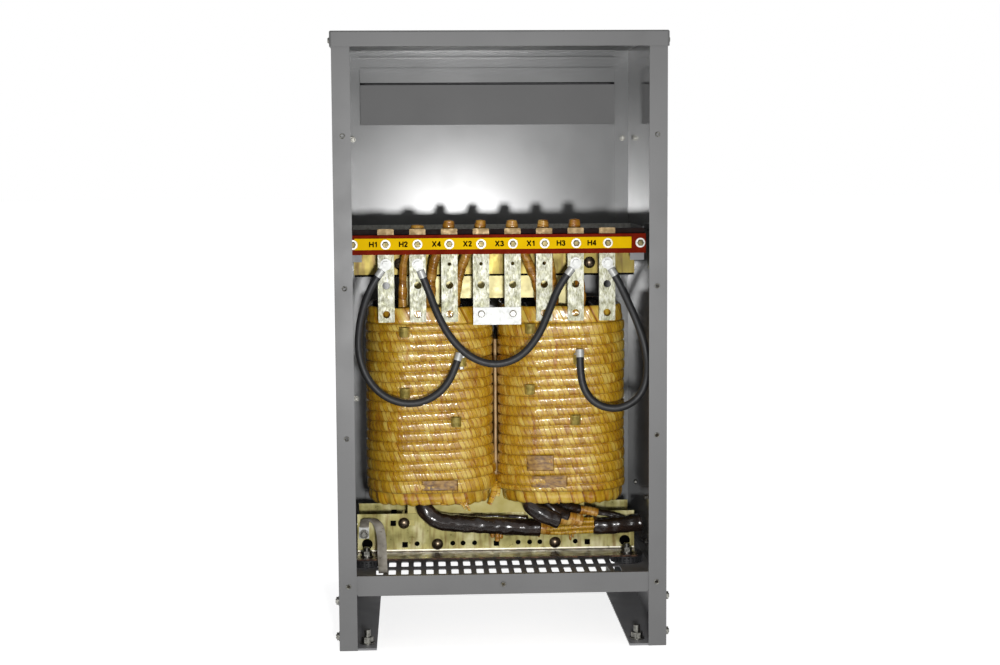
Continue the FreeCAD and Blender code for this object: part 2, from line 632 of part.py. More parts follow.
# ---- winding leads ----
lead_top = BAR_Z[1] + 9
behind_board = strip_back + 5.2 + TAPED_D / 2
TAPED_LEADS = (
    # foot x, x at the clamp's foot, bar, diameter
    (-181, -180, "h2", 13.0),
    (-128, -122, "x4", TAPED_D),
    (-80, -64, "x2", TAPED_D),
    (88, 62, "x3", TAPED_D),
    (112, 104, "x1", TAPED_D),
    (166, 158, "h3", TAPED_D),
)
taped = []
for foot_x, clamp_x, bar, diameter in TAPED_LEADS:
    route = [
        (foot_x, CORE_Y - 97, COLLAR_TOP),
        (foot_x, CORE_Y - 97, COLLAR_TOP + 26),
        (clamp_x, CORE_Y - 112, COLLAR_TOP + 86),
        ((clamp_x + bar_x[bar]) / 2, behind_board, COLLAR_TOP + 122),
        (bar_x[bar], behind_board + 1, lead_top - 18),
        (bar_x[bar] + 0.5, behind_board, lead_top),
    ]
    taped.append(bent_tube("taped lead " + bar, route, diameter))
save("taped_leads", taped)

# Black sleeved leads run from the coils' undersides to a splice at the lower right.
lead_y = core_front - CLAMP_T - SPLICE_D / 2 - DOME_H - 0.5
LEFT_SLEEVE = (
    (-146, -58, CUFF_BOTTOM), (-146, -58, 218), (-124, -54, 202), (-84, -46, 196), (-30, -37, 190),
    (30, lead_y - 0.3, 181.6), (66, lead_y, 181),
)
RIGHT_SLEEVE = ((76, -58, CUFF_BOTTOM), (76, -58, 222), (96, -54, 206), (130, lead_y - 25, 197))
THIN_SLEEVE = (
    (118, -40, CUFF_BOTTOM - 0.3), (118, -40, 227), (136, -34, 219), (168, -26, 215), (206, -20, 211),
)
SPLICE = (
    (66, lead_y, 181), (120, lead_y + 0.5, 181.5), (176, lead_y, 184), (230, lead_y - 1, 185),
    (276, lead_y, 185),
)
save("lower_leads", [
    bent_tube("left sleeve", LEFT_SLEEVE, SLEEVE_D),
    bent_tube("right sleeve", RIGHT_SLEEVE, SLEEVE_D),
    bent_tube("thin sleeve", THIN_SLEEVE, THIN_SLEEVE_D),
])
save("lead_splice", [bent_tube("splice", SPLICE, SPLICE_D)])

# Flat ground strap from the clamp's left end, over and down to the floor.
STRAP_TURN = -73         # plan angle of its plane from the X axis
STRAP_ROUTE = ((0, 160), (2, 186), (26, 204), (62, 194), (92, 166), (114, 138), (124, FLOOR_TOP + 0.5))


def ground_strap():
    start = V(-CLAMP_HALF + 12, core_front - CLAMP_T - 5, 0)
    pts = [V(s, 0, z) for s, z in STRAP_ROUTE]
    inner = []
    outer = []
    for i, p in enumerate(pts):
        along = (pts[min(i + 1, len(pts) - 1)] - pts[max(i - 1, 0)]).normalize()
        out = V(-along.z, 0, along.x) * (STRAP_T / 2)
        inner.append(p + out)
        outer.append(p - out)
    near = Part.BSplineCurve()
    near.interpolate(inner)
    far = Part.BSplineCurve()
    far.interpolate(outer)
    edges = [near.toShape(), Part.LineSegment(inner[-1], outer[-1]).toShape(),
             far.toShape(), Part.LineSegment(outer[0], inner[0]).toShape()]
    strip = Part.Face(Part.Wire(Part.__sortEdges__(edges))).extrude(V(0, STRAP_W, 0))
    strip.translate(V(0, -STRAP_W / 2, 0))
    strip.rotate(V(0, 0, 0), V(0, 0, 1), STRAP_TURN)
    strip.translate(start)
    bolt_z = STRAP_ROUTE[0][1] + 8
    bolt_y = core_front - CLAMP_T
    hold = joined([
        hexagon(V(start.x, bolt_y - 11, bolt_z), V(0, 1, 0), 13, 11),
        along_y(start.x, bolt_y - 4, bolt_z, 9, 4),
    ])
    return joined([strip, hold])


save("ground_strap", [ground_strap()])
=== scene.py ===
import math
import random

import bmesh
import bpy
from mathutils import Matrix, Vector, noise


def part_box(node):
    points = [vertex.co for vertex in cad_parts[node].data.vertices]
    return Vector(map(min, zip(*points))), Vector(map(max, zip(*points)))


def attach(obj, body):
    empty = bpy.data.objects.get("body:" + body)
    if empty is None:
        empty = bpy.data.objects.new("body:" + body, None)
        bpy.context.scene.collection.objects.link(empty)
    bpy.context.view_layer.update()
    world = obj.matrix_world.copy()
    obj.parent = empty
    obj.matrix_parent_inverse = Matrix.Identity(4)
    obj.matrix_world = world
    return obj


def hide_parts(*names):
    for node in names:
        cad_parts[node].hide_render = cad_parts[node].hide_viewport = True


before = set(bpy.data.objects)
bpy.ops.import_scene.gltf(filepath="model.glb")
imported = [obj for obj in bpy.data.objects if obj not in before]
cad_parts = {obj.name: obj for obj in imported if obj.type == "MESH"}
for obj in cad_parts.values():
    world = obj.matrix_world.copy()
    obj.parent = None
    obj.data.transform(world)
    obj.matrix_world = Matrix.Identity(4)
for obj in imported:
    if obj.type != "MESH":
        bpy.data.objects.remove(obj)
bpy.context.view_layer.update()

# Looks of a ventilated dry-type power transformer: sheet cabinet with its front cover off,
# two taped coils on a core, a terminal board with its bars, jumpers and sleeved leads.
# Metres, the same frame as the CAD: X right, Y to the rear, Z up.

MM = 0.001


# ---------------------------------------------------------------- nodes and colours
def linear(hex_colour):
    """An sRGB hex colour as linear red, green, blue and alpha."""
    channels = []
    for i in (0, 2, 4):
        c = int(hex_colour[i:i + 2], 16) / 255
        channels.append(c / 12.92 if c <= 0.04045 else ((c + 0.055) / 1.055) ** 2.4)
    return (*channels, 1.0)


def usable(sockets, name):
    """The first live socket of that name, or the one at that place, or simply the first."""
    if isinstance(name, int):
        return sockets[name]
    return next(s for s in sockets if name in (None, s.name) and not s.is_unavailable)


def add(tree, kind, inputs=None, out=None, stops=(), **settings):
    """Add a node: settings are its properties, inputs its values or the sockets that feed it."""
    made = tree.nodes.new(kind)
    for key, value in settings.items():
        setattr(made, key, value)
    for key, value in (inputs or {}).items():
        socket = usable(made.inputs, key)
        if isinstance(value, bpy.types.NodeSocket):
            tree.links.new(value, socket)
        else:
            socket.default_value = value
    if stops:
        marks = made.color_ramp.elements
        while len(marks) < len(stops):
            marks.new(0.5)
        for mark, (at, colour) in zip(marks, stops):
            mark.position = at
            mark.color = linear(colour)
    return usable(made.outputs, out) if len(made.outputs) else made


def blank_material(name):
    """A new material and its node tree, empty."""
    made = bpy.data.materials.new(name)
    made.use_nodes = True
    made.node_tree.nodes.clear()
    return made, made.node_tree


def placed(name, data):
    """A new object with that data, in the scene."""
    made = bpy.data.objects.new(name, data)
    bpy.context.scene.collection.objects.link(made)
    return made


def new_mesh(name, points, faces):
    """A mesh of those points and faces."""
    made = bpy.data.meshes.new(name)
    made.from_pydata(points, [], faces)
    return made


def drift(x, y, z):
    """Smooth noise at a place, between -1 and 1."""
    return noise.noise(Vector((x, y, z)))


# ---------------------------------------------------------------- finishes
# Settings of a colour mix. Its two colours are inputs 6 and 7, and its result is output 2.
COVER = {"out": 2, "data_type": "RGBA"}
DARKEN = {**COVER, "blend_type": "MULTIPLY"}
def mottled(name, patch_mm, stops, gloss, grit_mm=2.0, depth_mm=0.05, stretch=(1, 1, 1), over=None, **values):
    """A finish whose colour wanders in patches, with uneven gloss and a fine relief.

    over(tree, place, colour) may lay more on the colour and gives the new one.
    """
    made, tree = blank_material(name)
    place = add(tree, "ShaderNodeTexCoord", out="Object")
    drawn = add(tree, "ShaderNodeMapping", {"Vector": place, "Scale": stretch})
    patches = add(tree, "ShaderNodeTexNoise", {"Vector": drawn, "Scale": 1000 / patch_mm, "Detail": 5.0})
    colour = add(tree, "ShaderNodeValToRGB", {"Fac": patches}, stops=stops)
    if over:
        colour = over(tree, place, colour)
    wear = add(tree, "ShaderNodeTexNoise", {"Vector": place, "Scale": 2000 / patch_mm, "Detail": 4.0})
    rough = add(tree, "ShaderNodeMapRange", {"Value": wear, "From Min": 0.3, "From Max": 0.7,
                                             "To Min": gloss[0], "To Max": gloss[1]})
    grit = add(tree, "ShaderNodeTexNoise", {"Vector": drawn, "Scale": 1000 / grit_mm, "Detail": 3.0})
    bump = add(tree, "ShaderNodeBump", {"Height": grit, "Distance": depth_mm * MM, "Strength": 0.7})
    shader = add(tree, "ShaderNodeBsdfPrincipled",
                 {"Base Color": colour, "Roughness": rough, "Normal": bump, **values})
    add(tree, "ShaderNodeOutputMaterial", {"Surface": shader})
    return made


def varnish_runs(amount, tint, wide_mm):
    """Runs of varnish that darken a finish in streaks down it."""
    def lay(tree, place, colour):
        down = add(tree, "ShaderNodeMapping", {"Vector": place, "Scale": (1, 1, 0.13)})
        streaks = add(tree, "ShaderNodeTexNoise", {"Vector": down, "Scale": 1000 / wide_mm, "Detail": 4.0})
        run = add(tree, "ShaderNodeValToRGB", {"Fac": streaks}, stops=((0.48, "ffffff"), (0.7, tint)))
        return add(tree, "ShaderNodeMix", {"Factor": amount, 6: colour, 7: run}, **DARKEN)
    return lay


def spangle_and_stain(tree, place, colour):
    """Fine tin spangle everywhere, and varnish stain on the bar tops above the board."""
    stain_from, stain_full = 0.7560, 0.7572
    slant = add(tree, "ShaderNodeMapping", {"Vector": place, "Rotation": (0, 0.6, 0), "Scale": (1, 1, 0.35)})
    fine = add(tree, "ShaderNodeTexNoise",
               {"Vector": slant, "Scale": 1000 / 2.6, "Detail": 6.0, "Roughness": 0.65})
    fleck = add(tree, "ShaderNodeValToRGB", {"Fac": fine},
                stops=((0.34, "6d6a3e"), (0.47, "cfcdb4"), (0.56, "ffffff")))
    mixed = add(tree, "ShaderNodeMix", {"Factor": 0.8, 6: colour, 7: fleck}, **DARKEN)
    height = add(tree, "ShaderNodeSeparateXYZ", {"Vector": place}, out="Z")
    above = add(tree, "ShaderNodeMapRange", {"Value": height, "From Min": stain_from, "From Max": stain_full})
    return add(tree, "ShaderNodeMix", {"Factor": above, 6: mixed, 7: linear("8a7040")}, **COVER)


def caked_foot_and_bend_highlight(tree, place, colour):
    """Runs of varnish down the web, a painted highlight along the bend, and a crust of varnish on the foot
    flange.
    """
    crust_from, crust_full = 0.1245, 0.1235
    bend_height, bend_edge, bend_full = 0.1258, 0.0017, 0.0009
    streaked = varnish_runs(0.7, "a37a26", 7)(tree, place, colour)
    crust = add(tree, "ShaderNodeTexNoise", {"Vector": place, "Scale": 1000 / 9, "Detail": 6.0})
    brown = add(tree, "ShaderNodeValToRGB", {"Fac": crust},
                stops=((0.35, "120906"), (0.52, "361f14"), (0.68, "5e4028")))
    height = add(tree, "ShaderNodeSeparateXYZ", {"Vector": place}, out="Z")
    low = add(tree, "ShaderNodeMapRange", {"Value": height, "From Min": crust_from, "From Max": crust_full})
    over_bend = add(tree, "ShaderNodeMath", {0: height, 1: bend_height}, operation="SUBTRACT")
    from_bend = add(tree, "ShaderNodeMath", {0: over_bend}, operation="ABSOLUTE")
    # Painted highlight: near white along the bend, where it catches the light.
    bend_highlight = add(tree, "ShaderNodeMapRange",
                 {"Value": from_bend, "From Min": bend_edge, "From Max": bend_full})
    bright = add(tree, "ShaderNodeMix", {"Factor": bend_highlight, 6: streaked, 7: linear("fffbe8")}, **COVER)
    return add(tree, "ShaderNodeMix", {"Factor": low, 6: bright, 7: brown}, **COVER)


def lamination_lines(tree, place, colour):
    """Edges of stacked core sheets. They are 0.35 mm thick, drawn as 3 mm bands so that they show."""
    bands = add(tree, "ShaderNodeTexWave", {"Vector": place, "Scale": 1000 / 3 / 20, "Distortion": 1.5},
                bands_direction="Y")
    lines = add(tree, "ShaderNodeValToRGB", {"Fac": bands}, stops=((0.0, "9a9162"), (0.5, "ffffff")))
    return add(tree, "ShaderNodeMix", {"Factor": 0.4, 6: colour, 7: lines}, **DARKEN)


def varnished_tape(name, tints, gloss, edge_mm=6.5, lap_edge_shadow_share=0.85):
    """Glass tape soaked in amber varnish.

    Reads the piece's UV map: U counts the laps of tape, V counts the turns of the winding.
    Each lap has its own tint and a raised edge, with a dark line along that edge: partly resin, partly
    painted shadow of the lap over it. The joint between turns holds dark resin, and the soaked cloth is
    wrinkled along the laps and wet.
    """
    wrinkle_wide, wrinkle_long, turn_mm = 2.0, 15, 19.5
    lap_relief, film_relief = 1.9 * MM, 0.9 * MM
    made, tree = blank_material(name)
    place = add(tree, "ShaderNodeTexCoord", out="Object")
    wrap = add(tree, "ShaderNodeUVMap", uv_map="wrap")
    laps = add(tree, "ShaderNodeSeparateXYZ", {"Vector": wrap}, out="X")
    turns = add(tree, "ShaderNodeSeparateXYZ", {"Vector": wrap}, out="Y")
    in_lap = add(tree, "ShaderNodeMath", {0: laps}, operation="FRACT")
    in_turn = add(tree, "ShaderNodeMath", {0: turns}, operation="FRACT")
    lap_number = add(tree, "ShaderNodeMath", {0: laps}, operation="FLOOR")
    turn_number = add(tree, "ShaderNodeMath", {0: turns}, operation="FLOOR")
    cell = add(tree, "ShaderNodeCombineXYZ", {"X": lap_number, "Y": turn_number})
    own = add(tree, "ShaderNodeTexWhiteNoise", {"Vector": cell}, out="Value")
    patches = add(tree, "ShaderNodeTexNoise", {"Vector": place, "Scale": 1000 / 38, "Detail": 4.0})
    tone = add(tree, "ShaderNodeMix", {"Factor": 0.62, 2: own, 3: patches}, out=0)
    base = add(tree, "ShaderNodeValToRGB", {"Fac": tone},
               stops=((0.25, tints[0]), (0.5, tints[1]), (0.78, tints[2])))

    # Wrinkles run along the laps.
    along = add(tree, "ShaderNodeVectorMath",
                {0: wrap, 1: (edge_mm / wrinkle_wide, turn_mm / wrinkle_long, 1.0)}, operation="MULTIPLY")
    wrinkle = add(tree, "ShaderNodeTexNoise", {"Vector": along, "Scale": 1.0, "Detail": 4.0})
    soak = add(tree, "ShaderNodeValToRGB", {"Fac": wrinkle}, stops=((0.3, "c98d2c"), (0.5, "ffffff")))
    streaked = add(tree, "ShaderNodeMix", {"Factor": 0.7, 6: base, 7: soak}, **DARKEN)
    # Dark line at each lap's edge: partly resin, partly painted shadow of the lap over it.
    edge = add(tree, "ShaderNodeValToRGB", {"Fac": in_lap},
               stops=((0.0, "84560a"), (0.1, "deb868"), (0.2, "ffffff"), (1.0, "ffffff")))
    lapped = add(tree, "ShaderNodeMix", {"Factor": lap_edge_shadow_share, 6: streaked, 7: edge}, **DARKEN)
    down = add(tree, "ShaderNodeMapping", {"Vector": place, "Scale": (1, 1, 0.15)})
    drips = add(tree, "ShaderNodeTexNoise", {"Vector": down, "Scale": 1000 / 11, "Detail": 3.0})
    run = add(tree, "ShaderNodeValToRGB", {"Fac": drips}, stops=((0.56, "ffffff"), (0.72, "d8a44c")))
    runny = add(tree, "ShaderNodeMix", {"Factor": 0.7, 6: lapped, 7: run}, **DARKEN)
    joint = add(tree, "ShaderNodeValToRGB", {"Fac": in_turn},
                stops=((0.0, "ffffff"), (0.03, "a0a0a0"), (0.09, "000000"), (0.95, "000000"),
                       (1.0, "c0c0c0")))
    colour = add(tree, "ShaderNodeMix", {"Factor": joint, 6: runny, 7: linear("6a3f08")}, **COVER)

    wet = add(tree, "ShaderNodeTexNoise", {"Vector": place, "Scale": 1000 / 9, "Detail": 3.0})
    rough = add(tree, "ShaderNodeMapRange", {"Value": wet, "From Min": 0.35, "From Max": 0.65,
                                             "To Min": gloss[0], "To Max": gloss[1]})
    step = add(tree, "ShaderNodeMath", {0: in_lap, 1: 0.8, 2: wrinkle}, operation="MULTIPLY_ADD")
    bump = add(tree, "ShaderNodeBump", {"Height": step, "Distance": lap_relief, "Strength": 1.0})
    # The varnish film evens the laps out, but still breaks its glints at the wrinkles.
    film = add(tree, "ShaderNodeBump", {"Height": wrinkle, "Distance": film_relief, "Strength": 1.0})
    shader = add(tree, "ShaderNodeBsdfPrincipled",
                 {"Base Color": colour, "Roughness": rough, "Normal": bump, "IOR": 1.52,
                  "Coat Weight": 0.85, "Coat Roughness": 0.09, "Coat Normal": film})
    add(tree, "ShaderNodeOutputMaterial", {"Surface": shader})
    return made


# Baked grey enamel on sheet steel: even, faint orange peel, a soft sheen.
CABINET_ENAMEL = mottled("cabinet_enamel", 140, ((0.3, "606060"), (0.7, "686868")), (0.36, 0.48), 2.4, 0.04,
                         IOR=1.5)
# The same enamel on the side walls, its colour painted lighter than the cabinet's for the light reflected
# onto them; never scuffed inside, they mirror what stands by them.
PAINTED_LIGHT_WALL_ENAMEL = mottled("side_wall_enamel_painted_lighter", 160, ((0.3, "7a7a7b"), (0.7, "828283")), (0.08, 0.13), 2.4, 0.003,
                       IOR=1.5)
# The same enamel at the back, its colour painted lighter than the cabinet's for the lamp's glow on it; it
# also shines.
PAINTED_LIGHT_BACK_ENAMEL = mottled("back_wall_enamel_painted_lighter", 200, ((0.3, "7c7d7d"), (0.7, "848585")), (0.21, 0.25), 2.4, 0.008,
                       **{"Specular IOR Level": 0.62})
# Enamel on the rear baffles, dull from dust.
BAFFLE_ENAMEL = mottled("baffle_enamel", 90, ((0.3, "707070"), (0.7, "767676")), (0.52, 0.56), 2.4, 0.01,
                        IOR=1.5)
# Paler enamel on the skids, floor panel and board arms, its gloss patchy from scuffs.
SKID_ENAMEL = mottled("skid_enamel", 70, ((0.3, "7a7a7c"), (0.7, "868688")), (0.4, 0.6), 2.0, 0.06, IOR=1.5)
# Yellow passivated zinc on the upper clamps: straw to olive, streaked with varnish.
YELLOW_ZINC = mottled("yellow_passivated_zinc", 42, ((0.3, "5c5116"), (0.5, "736522"), (0.72, "978a44")),
                      (0.3, 0.5), 3.0, 0.05, over=varnish_runs(0.7, "a87c22", 8), Metallic=0.55)
# The lower clamps: paler and greener, their foot flanges caked with brown varnish, a painted highlight along
# their bends.
STAINED_ZINC = mottled("varnish_stained_zinc", 36, ((0.3, "8a8146"), (0.5, "aaa263"), (0.72, "cfc99c")),
                       (0.26, 0.46), 3.0, 0.06, over=caked_foot_and_bend_highlight, Metallic=0.45)
# Plain zinc on bolts and screws: mid grey, with a metal's glints.
BRIGHT_ZINC = mottled("bright_zinc", 4, ((0.3, "504f4a"), (0.7, "93928c")), (0.3, 0.45), 1.0, 0.03,
                      Metallic=1.0)
# White zinc on the board's washers and the link's screws: pale, nearly dull. The board's cross bar gets it
# too, a pale colour painted for the light it catches.
WASHER_ZINC_AND_BAR_HIGHLIGHT = mottled("white_zinc_washer_and_bar_highlight", 6, ((0.3, "b2b2ac"), (0.7, "dcdcd6")), (0.35, 0.5), 1.0, 0.03,
                      Metallic=0.3)
# Zinc nuts on the terminal board, yellowed by varnish, their colour painted dark olive for the shade on their
# sides.
YELLOWED_ZINC_PAINTED_SHADE = mottled("varnish_yellowed_zinc_painted_shade", 5, ((0.3, "2e2a18"), (0.7, "6a6040")), (0.3, 0.45), 1.0,
                        0.03, Metallic=0.9)
# Steel domes browned by varnish and heat.
BROWNED_STEEL = mottled("browned_steel", 7, ((0.3, "5a4c3c"), (0.55, "82725e"), (0.75, "a2937e")),
                        (0.24, 0.4), 1.5, 0.04, Metallic=0.9)
# Hot-tinned copper bar: mottled white, grey and green.
TINNED_BAR = mottled("tinned_bus_bar", 17, ((0.3, "98997c"), (0.5, "bfbfae"), (0.7, "dcdcd4")), (0.34, 0.6),
                     2.2, 0.1, over=spangle_and_stain, Metallic=0.25)
# Smooth tin plate on lugs and link plate.
TIN_PLATE = mottled("bright_tin_plate", 9, ((0.3, "b4b5b2"), (0.7, "d4d5d2")), (0.4, 0.55), 1.5, 0.04,
                    Metallic=0.3)
# Dull tinned copper of the ground strap, stained by varnish.
STRAP_TIN = mottled("dull_tinned_strap", 22, ((0.3, "8d867a"), (0.5, "b4aea2"), (0.72, "dcd8d0")),
                    (0.26, 0.42), 1.5, 0.05, Metallic=0.4)
# Core sheets seen on edge under straw varnish.
CORE_EDGES = mottled("varnished_core_edges", 30, ((0.3, "bfb050"), (0.7, "e2d68c")), (0.28, 0.42), 2.0, 0.06,
                     over=lamination_lines, Metallic=0.1)
# Red-brown glass-polyester sheet.
RED_BOARD = mottled("red_polyester_board", 14, ((0.3, "6c1708"), (0.7, "86230e")), (0.6, 0.7), 2.0, 0.05,
                    **{"Specular IOR Level": 0.02})
# The same sheet on the board's back, its colour painted near black for the shade on its top.
PAINTED_SHADE_BOARD = mottled("board_painted_shade", 18, ((0.3, "140a09"), (0.7, "241310")), (0.5, 0.65), 2.0, 0.05,
                     **{"Specular IOR Level": 0.08})
# Printed yellow film: one strong flat yellow, hardly any shine.
YELLOW_FILM = mottled("yellow_marker_film", 30, ((0.3, "f2c200"), (0.7, "f9cc04")), (0.6, 0.7), 2.0, 0.02,
                      **{"Specular IOR Level": 0.03})
# Ink of the terminal marks: flat black.
BLACK_INK = mottled("black_ink", 4, ((0.3, "020202"), (0.7, "070707")), (0.7, 0.8), 1.0, 0.02,
                    **{"Specular IOR Level": 0.02})
# Moulded rubber: matt black, dusty in patches.
BLACK_RUBBER = mottled("moulded_rubber", 9, ((0.3, "1c1c1d"), (0.7, "303032")), (0.45, 0.6), 1.4, 0.12,
                       IOR=1.5)
# Dead matt black for the sheets and strips that stand in for shade.
PAINTED_SHADE_BLACK = mottled("painted_shade_black", 12, ((0.3, "040404"), (0.7, "0a0908")), (0.8, 0.9), 2.0, 0.03,
                      **{"Specular IOR Level": 0.03})
# Cable jacket: charcoal rubber with a soft sheen.
CABLE_JACKET = mottled("charcoal_cable_jacket", 8, ((0.3, "242425"), (0.7, "2e2e30")), (0.42, 0.54), 1.2,
                       0.08, IOR=1.45)
# Pressboard barrier, cream with amber stains.
PRESSBOARD = mottled("cream_pressboard", 26, ((0.3, "a37f4c"), (0.6, "d0b482")), (0.4, 0.55), 1.5, 0.05,
                     IOR=1.5)
# Brass tap tubes, tarnished and splashed with varnish.
DULL_BRASS = mottled("tarnished_brass", 7, ((0.3, "8c7c34"), (0.6, "c0ac5c"), (0.8, "ead990")), (0.3, 0.45),
                     1.5, 0.04, Metallic=0.4)
# Old paper tag under varnish.
TAG_PAPER = mottled("varnished_paper_tag", 5, ((0.32, "5c3c12"), (0.5, "966c28"), (0.7, "bc9444")),
                    (0.3, 0.5), 1.5, 0.05, stretch=(0.5, 1, 1), IOR=1.5)
# Resin pooled on the coil ends: near black, wet in places.
POOLED_RESIN = mottled("pooled_dark_resin", 14, ((0.3, "0f0905"), (0.6, "281709"), (0.8, "4a2c10")),
                       (0.15, 0.4), 4.0, 0.6, IOR=1.54)
# Varnished glass sleeving: black-brown, wrinkled, running wet.
DARK_SLEEVING = mottled("varnished_sleeving", 20, ((0.35, "17110e"), (0.6, "2a1e18"), (0.8, "4a3424")),
                        (0.12, 0.34), 5.0, 1.0, stretch=(0.5, 1, 1), IOR=1.54,
                        **{"Coat Weight": 0.55, "Coat Roughness": 0.16})
# Glass tape soaked in amber varnish: straw to gold, wet over its laps.
AMBER_TAPE = varnished_tape("amber_varnished_tape", ("bd8f18", "dcb028", "f2d86c"), (0.2, 0.42))
# The same tape on the leads, browner and thicker with resin.
LEAD_TAPE = varnished_tape("brown_varnished_tape", ("9a6614", "c88e2e", "f0c870"), (0.12, 0.3), 9.0, 0.35)


# ---------------------------------------------------------------- camera, light, floor
# The camera that was fitted to the photo: place, angles in radians, lens and sensor in mm.
CAMERA_AT = (-0.1546, -3.5008, 0.8949)
YAW, TILT, ROLL = 0.0470, -0.0956, -0.0061
LENS, SENSOR = 64.11, 36.0

LAMP_AT = (0.0, -2.95, 0.585)
LAMP_AIM = (0, 0, 0.55)
LAMP_WIDTH = 0.12
LAMP_POWER = 43
WORLD_LIGHT = 0.43
FLOOR_REACH = 40.0
FLOOR_GLOW = 0.72


def set_camera():
    """Eye level a little below the lid, turned slightly right and down."""
    flat = math.cos(TILT)
    forward = Vector((math.sin(YAW) * flat, math.cos(YAW) * flat, math.sin(TILT)))
    level = Vector((math.cos(YAW), -math.sin(YAW), 0))
    upright = level.cross(forward)
    right = level * math.cos(ROLL) + upright * math.sin(ROLL)
    up = upright * math.cos(ROLL) - level * math.sin(ROLL)
    turn = Matrix((right, up, -forward)).transposed().to_4x4()
    data = bpy.data.cameras.new("camera")
    data.sensor_width = SENSOR
    data.lens = LENS
    data.clip_end = 50
    eye = placed("camera", data)
    eye.matrix_world = Matrix.Translation(CAMERA_AT) @ turn
    bpy.context.scene.camera = eye


def set_studio():
    """One lamp in front, a white world and a pale floor that glows."""
    # Colours are shown as they are, so that greys and yellows keep their tone.
    bpy.context.scene.view_settings.view_transform = "Standard"
    # The camera sees a pure white world. The object gets less than half of it, so it is dark inside.
    world = bpy.data.worlds.new("studio")
    world.use_nodes = True
    seen = add(world.node_tree, "ShaderNodeLightPath", out="Is Camera Ray")
    share = add(world.node_tree, "ShaderNodeMapRange", {"Value": seen, "To Min": WORLD_LIGHT, "To Max": 1.0})
    sky = world.node_tree.nodes["Background"]
    sky.inputs["Color"].default_value = linear("ffffff")
    world.node_tree.links.new(share, sky.inputs["Strength"])
    bpy.context.scene.world = world

    data = bpy.data.lights.new("front_light", "AREA")
    data.energy = LAMP_POWER
    data.size = LAMP_WIDTH
    lamp = placed("front_light", data)
    lamp.location = LAMP_AT
    lamp.rotation_euler = (Vector(LAMP_AIM) - Vector(LAMP_AT)).to_track_quat("-Z", "Y").to_euler()

    corners = [(x * FLOOR_REACH, y * FLOOR_REACH, 0) for x, y in ((-1, -1), (1, -1), (1, 1), (-1, 1))]
    plane = new_mesh("floor", corners, [(0, 1, 2, 3)])
    # A lit table: pale and dull, with a glow of its own that keeps it white.
    plane.materials.append(mottled("pale_floor", 400, ((0.3, "e6e6e6"), (0.7, "eaeaea")), (0.8, 0.9),
                                   **{"Emission Color": linear("ffffff"), "Emission Strength": FLOOR_GLOW}))
    floor = placed("floor", plane)
    floor.visible_diffuse = False     # it throws no light on the object

# ---------------------------------------------------------------- making pieces
# The way one screw on a front face points.
FORWARD = ((0, -1, 0),)


def keep(name, mesh, materials, replaced=(), smooth=True):
    """Turn a mesh into a finished piece of the object."""
    if not mesh.materials:
        for material in materials:
            mesh.materials.append(material)
    whole = bmesh.new()
    whole.from_mesh(mesh)
    bmesh.ops.remove_doubles(whole, verts=whole.verts, dist=1e-6)
    whole.to_mesh(mesh)
    whole.free()
    mesh.polygons.foreach_set("use_smooth", [smooth] * len(mesh.polygons))
    piece = placed(name, mesh)
    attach(piece, "root")
    if replaced:
        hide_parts(*replaced)
    return piece


def joined_rows(name, rows, wrap_at=None, loop=False):
    """Mesh between rows of points, each row closed on itself; wrap_at(row, column) gives its UV."""
    count = len(rows[0])
    faces, wraps = [], []
    last = len(rows) if loop else len(rows) - 1
    for r in range(last):
        s = (r + 1) % len(rows)
        for c in range(count):
            n = (c + 1) % count
            faces.append((r * count + c, r * count + n, s * count + n, s * count + c))
            if wrap_at:
                wraps += [wrap_at(r, c, 0), wrap_at(r, c + 1, 0), wrap_at(r, c + 1, 1), wrap_at(r, c, 1)]
    mesh = new_mesh(name, [p for row in rows for p in row], faces)
    if wrap_at:
        mesh.uv_layers.new(name="wrap").data.foreach_set("uv", [n for pair in wraps for n in pair])
    return mesh


def with_ends(rows):
    """The rows of a tube, and one more at each end that draws it together at its middle."""
    count = len(rows[0])
    first, last = (sum(rows[end], Vector()) / count for end in (0, -1))
    return [[first] * count, *rows, [last] * count]


def turned(name, profile, centres, around):
    """The same upright turned shape at each centre: profile is radius and height, in mm, from its axis."""
    points, faces = [], []
    for cx, cy, cz in centres:
        start = len(points)
        for r, z in profile:
            for k in range(around):
                angle = 2 * math.pi * k / around
                points.append(Vector((cx + r * math.cos(angle), cy + r * math.sin(angle), cz + z)) * MM)
        for r in range(len(profile) - 1):
            for k in range(around):
                n = (k + 1) % around
                a, b = start + r * around, start + (r + 1) * around
                faces.append((a + k, a + n, b + n, b + k))
    return new_mesh(name, points, faces)


def slab(name, outline_xz, front_y, back_y, material, replaced=(), wave=0.0):
    """A flat sheet cut to an outline in X and Z, from front_y to back_y, its edge a little uneven."""
    rows = []
    for y in (front_y, back_y):
        rows.append([Vector((px + wave * drift(px, pz, 1), y, pz + wave * drift(px, pz, 7))) * MM
                     for px, pz in outline_xz])
    mesh = joined_rows(name, rows)
    count = len(outline_xz)
    whole = bmesh.new()
    whole.from_mesh(mesh)
    whole.verts.ensure_lookup_table()
    whole.faces.new([whole.verts[i] for i in range(count)])
    whole.faces.new([whole.verts[count + i] for i in reversed(range(count))])
    bmesh.ops.recalc_face_normals(whole, faces=whole.faces)
    whole.to_mesh(mesh)
    whole.free()
    return keep(name, mesh, (material,), replaced, smooth=False)


def route_curve(name, points, radius_mm=0.0):
    """One open NURBS spline that the route's points (in mm) control."""
    data = bpy.data.curves.new(name, "CURVE")
    data.dimensions = "3D"
    data.resolution_u = 12
    data.bevel_depth = radius_mm * MM
    data.bevel_resolution = 5
    data.use_fill_caps = True
    line = data.splines.new("NURBS")
    line.points.add(len(points) - 1)
    for point, xyz in zip(line.points, points):
        point.co = (*(c * MM for c in xyz), 1)
    line.order_u = 3
    line.use_endpoint_u = True
    return placed(name, data)


